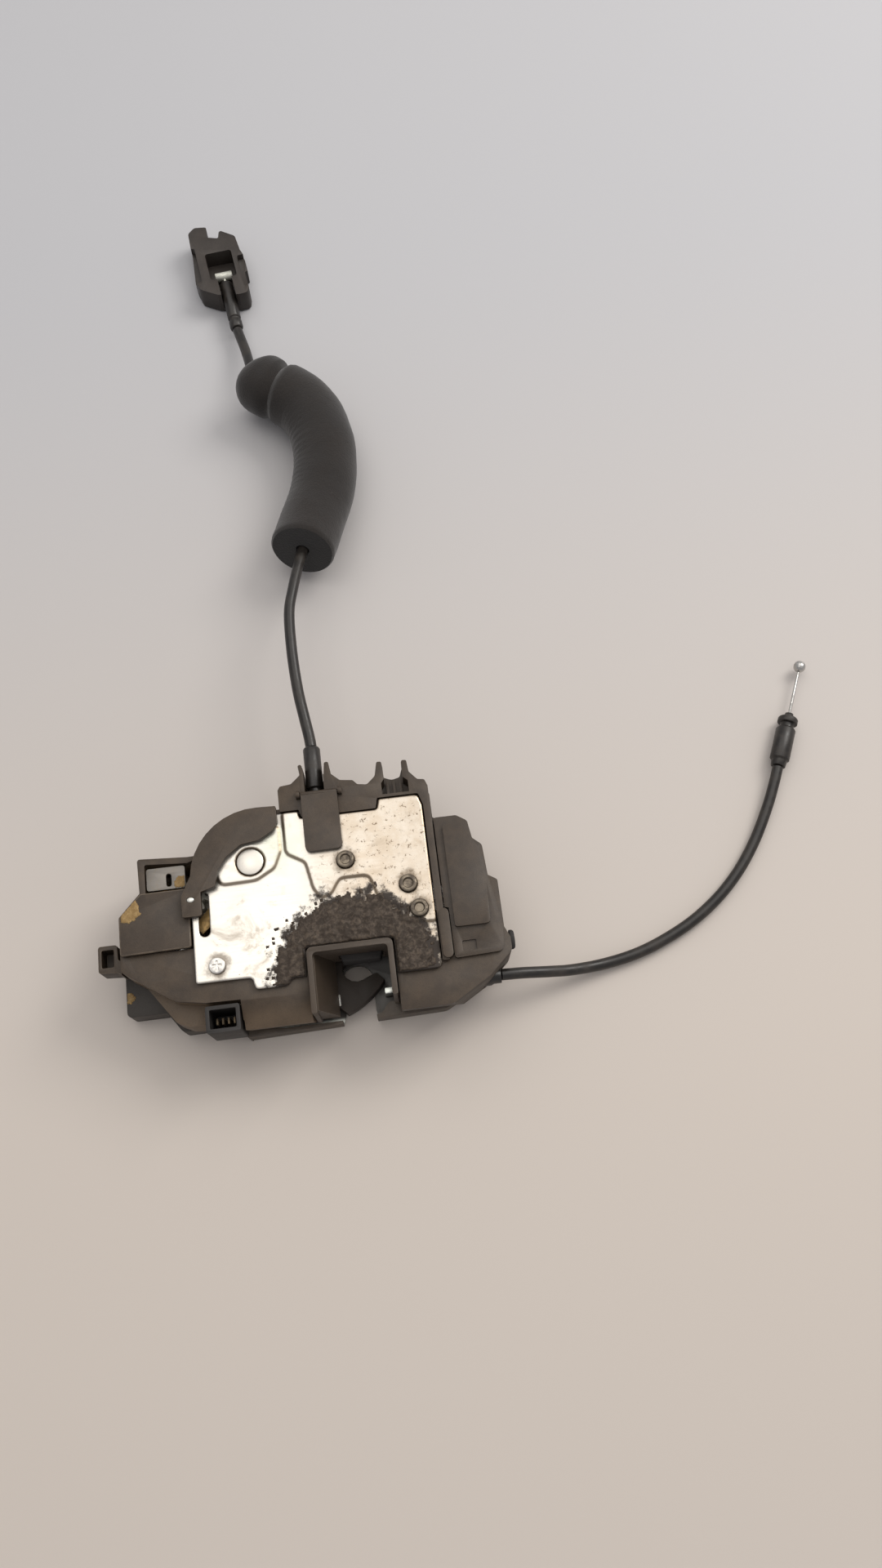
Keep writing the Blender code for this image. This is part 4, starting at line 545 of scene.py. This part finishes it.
def make_foam(m):
    """Foam sleeve: bent tube with wrinkles inside its bend, a deep crease, a rounded far rim and a bore."""
    sides = FOAM_SIDES
    route = smooth_route(INSIDE_ROUTE_MM, FOAM_STEP)[0]
    line = [p for p in route if FOAM_SPAN_Y[0] < p.y < FOAM_SPAN_Y[1]]
    mesh = bmesh.new()
    rings, bores = [], []
    for i, point in enumerate(line):
        ahead = (line[min(i + 1, len(line) - 1)] - line[max(i - 1, 0)]).normalized()
        side = ahead.cross(Vector((0, 0, 1))).normalized()
        up = side.cross(ahead)
        from_start, from_end = i * FOAM_STEP, (len(line) - 1 - i) * FOAM_STEP
        crease = CREASE_DEPTH * math.exp(-(((from_end - CREASE_FROM_END) / CREASE_WIDTH) ** 2))
        far_rim = FAR_RIM_DEPTH * max(0.0, 1.0 - from_end / FAR_RIM_WIDTH) ** 2.2
        rim = far_rim + NEAR_RIM_DEPTH * max(0.0, 1.0 - from_start / NEAR_RIM_WIDTH) ** 2
        ring, bore = [], []
        for k in range(sides):
            a = 2 * math.pi * k / sides
            out = side * math.cos(a) + up * math.sin(a)
            inward = max(0.0, -math.cos(a))
            wrinkle = WRINKLE_HEIGHT * inward**2 * math.sin(from_start * 1900 + 3 * noise.noise(point * 60))
            wrinkle *= math.exp(-(((from_start - WRINKLES_AT) / WRINKLES_REACH) ** 2))
            skin = point + out * 0.012
            wave = WAVE_HEIGHT * noise.noise(skin * 85) + RIPPLE_HEIGHT * noise.noise(skin * 420)
            radius = FOAM_RADIUS - crease * (0.75 + 0.25 * math.sin(a + 0.6)) - rim + wrinkle + wave
            ring.append(mesh.verts.new(point + out * radius))
            bore.append(mesh.verts.new(point + out * FOAM_BORE))
        rings.append(ring)
        bores.append(bore)
    for low, high in zip(rings, rings[1:]):
        for k in range(sides):
            mesh.faces.new((low[k - 1], low[k], high[k], high[k - 1]))
    for low, high in zip(bores, bores[1:]):
        for k in range(sides):
            mesh.faces.new((low[k], low[k - 1], high[k - 1], high[k]))
    cut_faces = []
    for outer, inner, flip in ((rings[0], bores[0], True), (rings[-1], bores[-1], False)):
        last = outer
        for share in (0.4, 0.75, 1.0):
            step = inner
            if share < 1.0:
                step = [mesh.verts.new(a.co.lerp(b.co, share)) for a, b in zip(outer, inner)]
            for k in range(sides):
                corners = (last[k - 1], last[k], step[k], step[k - 1])
                cut_faces.append(mesh.faces.new(corners if not flip else corners[::-1]))
            last = step
    for face in cut_faces:
        face.material_index = 1
    bmesh.ops.recalc_face_normals(mesh, faces=mesh.faces)
    body = body_of["foam_sleeve"]
    sleeve = new_piece("foam_sleeve_form", mesh, body, "foam", m["foam"], m["foam_end"])
    sleeve.data.set_sharp_from_angle(angle=math.radians(50))
    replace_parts(sleeve, "foam_sleeve")


def make_plate(m):
    """Back plate with the soft edges of pressed sheet: a fine remesh of the CAD plate, smoothed."""
    rough = new_piece("plate_blank", welded("back_plate"), "latch_body", "zinc", m["plate"])
    remesh = rough.modifiers.new("even_mesh", "REMESH")
    remesh.mode = "VOXEL"
    remesh.voxel_size = 0.00045
    ease = rough.modifiers.new("press_soft", "SMOOTH")
    ease.factor = 0.5
    ease.iterations = 7
    shaped = bpy.data.meshes.new_from_object(rough.evaluated_get(bpy.context.evaluated_depsgraph_get()))
    bpy.data.objects.remove(rough)
    mesh = bmesh.new()
    mesh.from_mesh(shaped)
    plate = new_piece("back_plate_form", mesh, "latch_body", "zinc", m["plate"])
    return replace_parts(plate, "back_plate")


def surface_of(*objects):
    """What a ray from above meets on these objects."""
    mesh = bmesh.new()
    graph = bpy.context.evaluated_depsgraph_get()
    for obj in objects:
        data = bpy.data.meshes.new_from_object(obj.evaluated_get(graph))
        mesh.from_mesh(data)
        bpy.data.meshes.remove(data)
    tree = BVHTree.FromBMesh(mesh)
    mesh.free()
    return tree


def crust(name, surface, box_mm, spacing_mm, height_mm, finish, slot, steepest=0.0012):
    """A thin crust on a surface: height_mm(x, y) gives its thickness, and 0 leaves the surface bare."""
    (x0, y0), (x1, y1) = box_mm
    mesh = bmesh.new()
    grid = {}
    columns, rows = int((x1 - x0) / spacing_mm), int((y1 - y0) / spacing_mm)
    draw = random.Random(7)
    for i in range(columns + 1):
        for j in range(rows + 1):
            x = x0 + spacing_mm * (i + 0.7 * (draw.random() - 0.5))
            y = y0 + spacing_mm * (j + 0.7 * (draw.random() - 0.5))
            thick = height_mm(x, y)
            hit = surface.ray_cast(Vector((x * MM, y * MM, 0.1)), Vector((0, 0, -1)))[0]
            if hit is not None:
                grid[i, j] = (hit, thick)
    tops = {}

    def corner(key):
        if key not in tops:
            hit, thick = grid[key]
            tops[key] = mesh.verts.new(hit + Vector((0, 0, max(THINNEST_MM, thick) * MM)))
        return tops[key]

    for i in range(columns):
        for j in range(rows):
            keys = [(i, j), (i + 1, j), (i + 1, j + 1), (i, j + 1)]
            if not all(key in grid for key in keys) or sum(grid[key][1] for key in keys) <= 0:
                continue
            levels = [grid[key][0].z for key in keys]
            if max(levels) - min(levels) < steepest:
                mesh.faces.new([corner(key) for key in keys])
    bmesh.ops.extrude_face_region(mesh, geom=list(mesh.faces))
    for key, vert in tops.items():
        if vert.is_valid:
            vert.co.z = grid[key][0].z - 0.00004
    bmesh.ops.delete(mesh, geom=[v for v in mesh.verts if not v.link_faces], context="VERTS")
    bmesh.ops.recalc_face_normals(mesh, faces=mesh.faces)
    return new_piece(name, mesh, "latch_body", slot, finish)


def grease_height(x, y):
    """Dried grease round the striker mouth, broken into flecks at its edge."""
    if MOUTH_X_MM[0] < x < MOUTH_X_MM[1] and y < MOUTH_TOP_MM:
        return 0.0
    middle_x, middle_y = GREASE_AT_MM
    away = math.hypot((x - middle_x) * (1.0 if x < middle_x else 1.13), y - middle_y)
    edge = GREASE_REACH_MM + 3.2 * noise.noise((x * 0.16, y * 0.16, 1.0))
    edge += 2.6 * noise.noise((x * 0.5, y * 0.5, 4.0))
    lumps = 0.42 + 0.5 * noise.noise((x * 0.45, y * 0.45, 2.0)) + 0.3 * noise.noise((x * 1.3, y * 1.3, 3.0))
    inside = (edge - away) / 6.0
    if inside > 0:
        return max(0.0, min(1.0, 0.25 + inside) * lumps + 0.12)
    flecks = noise.noise((x * 0.9, y * 0.9, 8.0)) + 0.5 * noise.noise((x * 1.9, y * 1.9, 9.0))
    return max(0.0, 0.55 * (flecks - 0.33 + 0.42 * inside))


def blob(centre, size, seed):
    """Height of a smear with an uneven edge, as a function of place."""
    def height(x, y):
        away = math.hypot((x - centre[0]) / size[0], (y - centre[1]) / size[1])
        edge = 1.0 + 0.35 * noise.noise((x * 0.5, y * 0.5, seed))
        edge += 0.2 * noise.noise((x * 1.4, y * 1.4, seed))
        return OCHRE_THICK_MM if away < edge else 0.0
    return height


def make_bright_bits(m):
    """A bright stud in the foot of the arch cover, and a worn strip low on the left wall of the mouth."""
    stud_half, stud_at = Vector((1.35, 0.95, 0.45)) * MM, Vector((-40.1, 0.9, 37.2)) * MM
    strip_size, strip_at = Vector((0.8, 4.2, 1.6)) * MM, Vector((8.9, -38.4, 14.0)) * MM
    stud = bmesh.new()
    bmesh.ops.create_uvsphere(stud, u_segments=20, v_segments=10, radius=1.0)
    bmesh.ops.transform(stud, matrix=Matrix.Diagonal((*stud_half, 1.0)), verts=stud.verts)
    bmesh.ops.translate(stud, vec=stud_at, verts=stud.verts)
    new_piece("foot_stud", stud, "latch_body", "zinc", m["bright"])
    strip = bmesh.new()
    bmesh.ops.create_cube(strip, size=1.0)
    bmesh.ops.transform(strip, matrix=Matrix.Diagonal((*strip_size, 1.0)), verts=strip.verts)
    bmesh.ops.translate(strip, vec=strip_at, verts=strip.verts)
    bmesh.ops.bevel(strip, geom=strip.edges, offset=0.2 * MM, segments=2, affect="EDGES")
    new_piece("mouth_strip", strip, "latch_body", "steel", m["bright"])


def make_crusts(m, plate):
    """Dried grease on the plate round the mouth, and four smears of ochre paint."""
    shown = [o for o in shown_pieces() if o.type == "MESH" and "cable" not in o.name]
    everything = surface_of(*shown)
    crust("dried_grease", surface_of(plate), GREASE_BOX_MM, 0.55, grease_height, m["grease"], "zinc")
    for name, (centre, size, seed) in OCHRE_MM.items():
        low = tuple(c - OCHRE_MARGIN_MM for c in centre)
        high = tuple(c + OCHRE_MARGIN_MM for c in centre)
        crust(name, everything, (low, high), 0.35, blob(centre, size, seed), m["ochre"], "yellow", 0.0004)


def make_stage():
    """Plain pale floor, soft light from above, and a brighter window for the plate to mirror."""
    mesh = bmesh.new()
    bmesh.ops.create_grid(mesh, x_segments=1, y_segments=1, size=FLOOR_HALF)
    data = bpy.data.meshes.new("floor")
    mesh.to_mesh(data)
    mesh.free()
    floor = bpy.data.objects.new("floor", data)
    floor.location.z = FLOOR_Z
    bpy.context.scene.collection.objects.link(floor)
    f = Finish("floor")
    tone = f.mix(f.span(f.axis("Y"), -0.1, 0.35), FLOOR_NEAR, FLOOR_FAR)
    f.set(Base_Color=tone, Roughness=0.7)
    f.shader.inputs["Specular IOR Level"].default_value = 0.2
    away = f.node("ShaderNodeVectorMath", operation="LENGTH")
    f.feed(away.inputs[0], f.place)
    fade = f.node("ShaderNodeMixShader")
    f.feed(fade.inputs["Fac"], f.span(away.outputs["Value"], *FLOOR_FADE))
    f.feed(fade.inputs[1], f.shader.outputs[0])
    f.feed(fade.inputs[2], f.node("ShaderNodeBsdfTransparent").outputs[0])
    f.feed(f.tree.nodes["Material Output"].inputs["Surface"], fade.outputs[0])
    data.materials.append(f.material)
    for name, place, size, watts, tone in LAMPS:
        lamp = bpy.data.lights.new(name, "AREA")
        lamp.size = size
        lamp.energy = watts
        lamp.color = tone
        obj = bpy.data.objects.new(name, lamp)
        obj.location = place
        obj.rotation_euler = (-Vector(place)).to_track_quat("-Z", "Y").to_euler()
        bpy.context.scene.collection.objects.link(obj)
    world = bpy.data.worlds.new("world")
    world.use_nodes = True
    back = world.node_tree.nodes["Background"]
    back.inputs["Color"].default_value = SKY_COLOUR
    back.inputs["Strength"].default_value = SKY_STRENGTH
    links, made = world.node_tree.links, world.node_tree.nodes.new
    seen = made("ShaderNodeBackground")
    seen.inputs["Color"].default_value = BACKGROUND
    rays, either = made("ShaderNodeLightPath"), made("ShaderNodeMixShader")
    links.new(rays.outputs["Is Camera Ray"], either.inputs["Fac"])
    links.new(back.outputs[0], either.inputs[1])
    links.new(seen.outputs[0], either.inputs[2])
    links.new(either.outputs[0], world.node_tree.nodes["World Output"].inputs["Surface"])
    bpy.context.scene.world = world
    bpy.context.scene.view_settings.view_transform = "Standard"


def make_forms(m):
    """Every other CAD node: softened copies where edges show, and a finish where the shape stays."""
    soften("lower_case", "case", 0.45, m["skirt"], m["rim"])
    soften("upper_case", "case", 0.45, m["case"], m["case_edge"])
    soften("cable_bracket", "case", 0.4, m["case"], m["case_edge"])
    soften("arch_cover", "case", 0.9, m["case"], m["case_edge"], segments=3)
    soften("motor_cover", "cover", 0.5, m["cover"], m["cover_edge"])
    soften("switch_cover", "cover", 0.5, m["cover"], m["cover_edge"])
    soften("mouth_frame", "cover", 0.4, m["deep"], m["rim"])
    soften("cable_flap", "cover", 0.45, m["cover"], m["cover_edge"])
    soften("harness_clip", "case", 0.4, m["cover"], m["cover_edge"])
    soften("connector_shroud", "case", 0.3, m["coated"], m["clip_edge"])
    soften("handle_clip", "case", 0.6, m["clip"], m["clip_edge"])
    soften("face_plate", "zinc", 0.3, m["mouth_steel"])
    soften("pocket_plate", "zinc", 0.25, m["grimy_zinc"])
    soften("claw", "coated", 0.4, m["claw"])
    soften("pawl", "steel", 0.3, m["steel"])
    for node in ("release_lever", "inside_lever"):
        soften(node, "zinc", 0.25, m["zinc"])
    soften("lock_lever", "yellow", 0.2, m["yellow"])
    soften("striker_bumper", "rubber", 0.5, m["rubber"])
    soften("micro_switch", "coated", 0.25, m["coated"])
    soften("switch_board", "board", 0.2, m["board"])
    soften("motor", "steel", 0.3, m["steel"])
    for i in range(4):
        soften(f"terminal_{i + 1}", "brass", 0.12, m["dirty_brass"])
    for node in ("pawl_pin", "release_pin", "inside_lever_pin"):
        soften(node, "zinc", 0.18, m["rivet"])
    soften("lock_pin", "zinc", 0.12, m["plate"])
    soften("plate_screw", "zinc", 0.15, m["zinc"])
    soften("side_plug", "rubber", 0.2, m["rubber"])
    soften("claw_pin", "steel", 0.2, m["coated"])
    soften("gear_pin", "steel", 0.2, m["steel"])
    soften("worm_wheel", "gear", 0.1, m["gear"])
    soften("motor_worm", "brass", 0.05, m["brass"])
    for node in ("inside_cable_ferrule", "clip_ferrule", "outside_cable_gland", "outside_ferrule"):
        soften(node, "conduit", 0.2, m["conduit"])
    soften("clip_nipple", "steel", 0.2, m["nipple"])
    for node in ("outside_wire", "ball_nipple"):
        paint(node, m["steel"])
    for node in ("claw_spring", "pawl_spring", "inside_lever_spring"):
        paint(node, m["spring"])


def main():
    make_camera()
    m = make_finishes()
    make_forms(m)
    make_foam(m)
    make_cable(
        "inside_cable_cover", "inside_cable", INSIDE_ROUTE_MM, m["conduit"],
    )
    make_cable(
        "outside_cable_cover", "outside_cable", OUTSIDE_ROUTE_MM, m["conduit"],
    )
    plate = make_plate(m)
    make_bright_bits(m)
    make_crusts(m, plate)
    make_stage()


main()
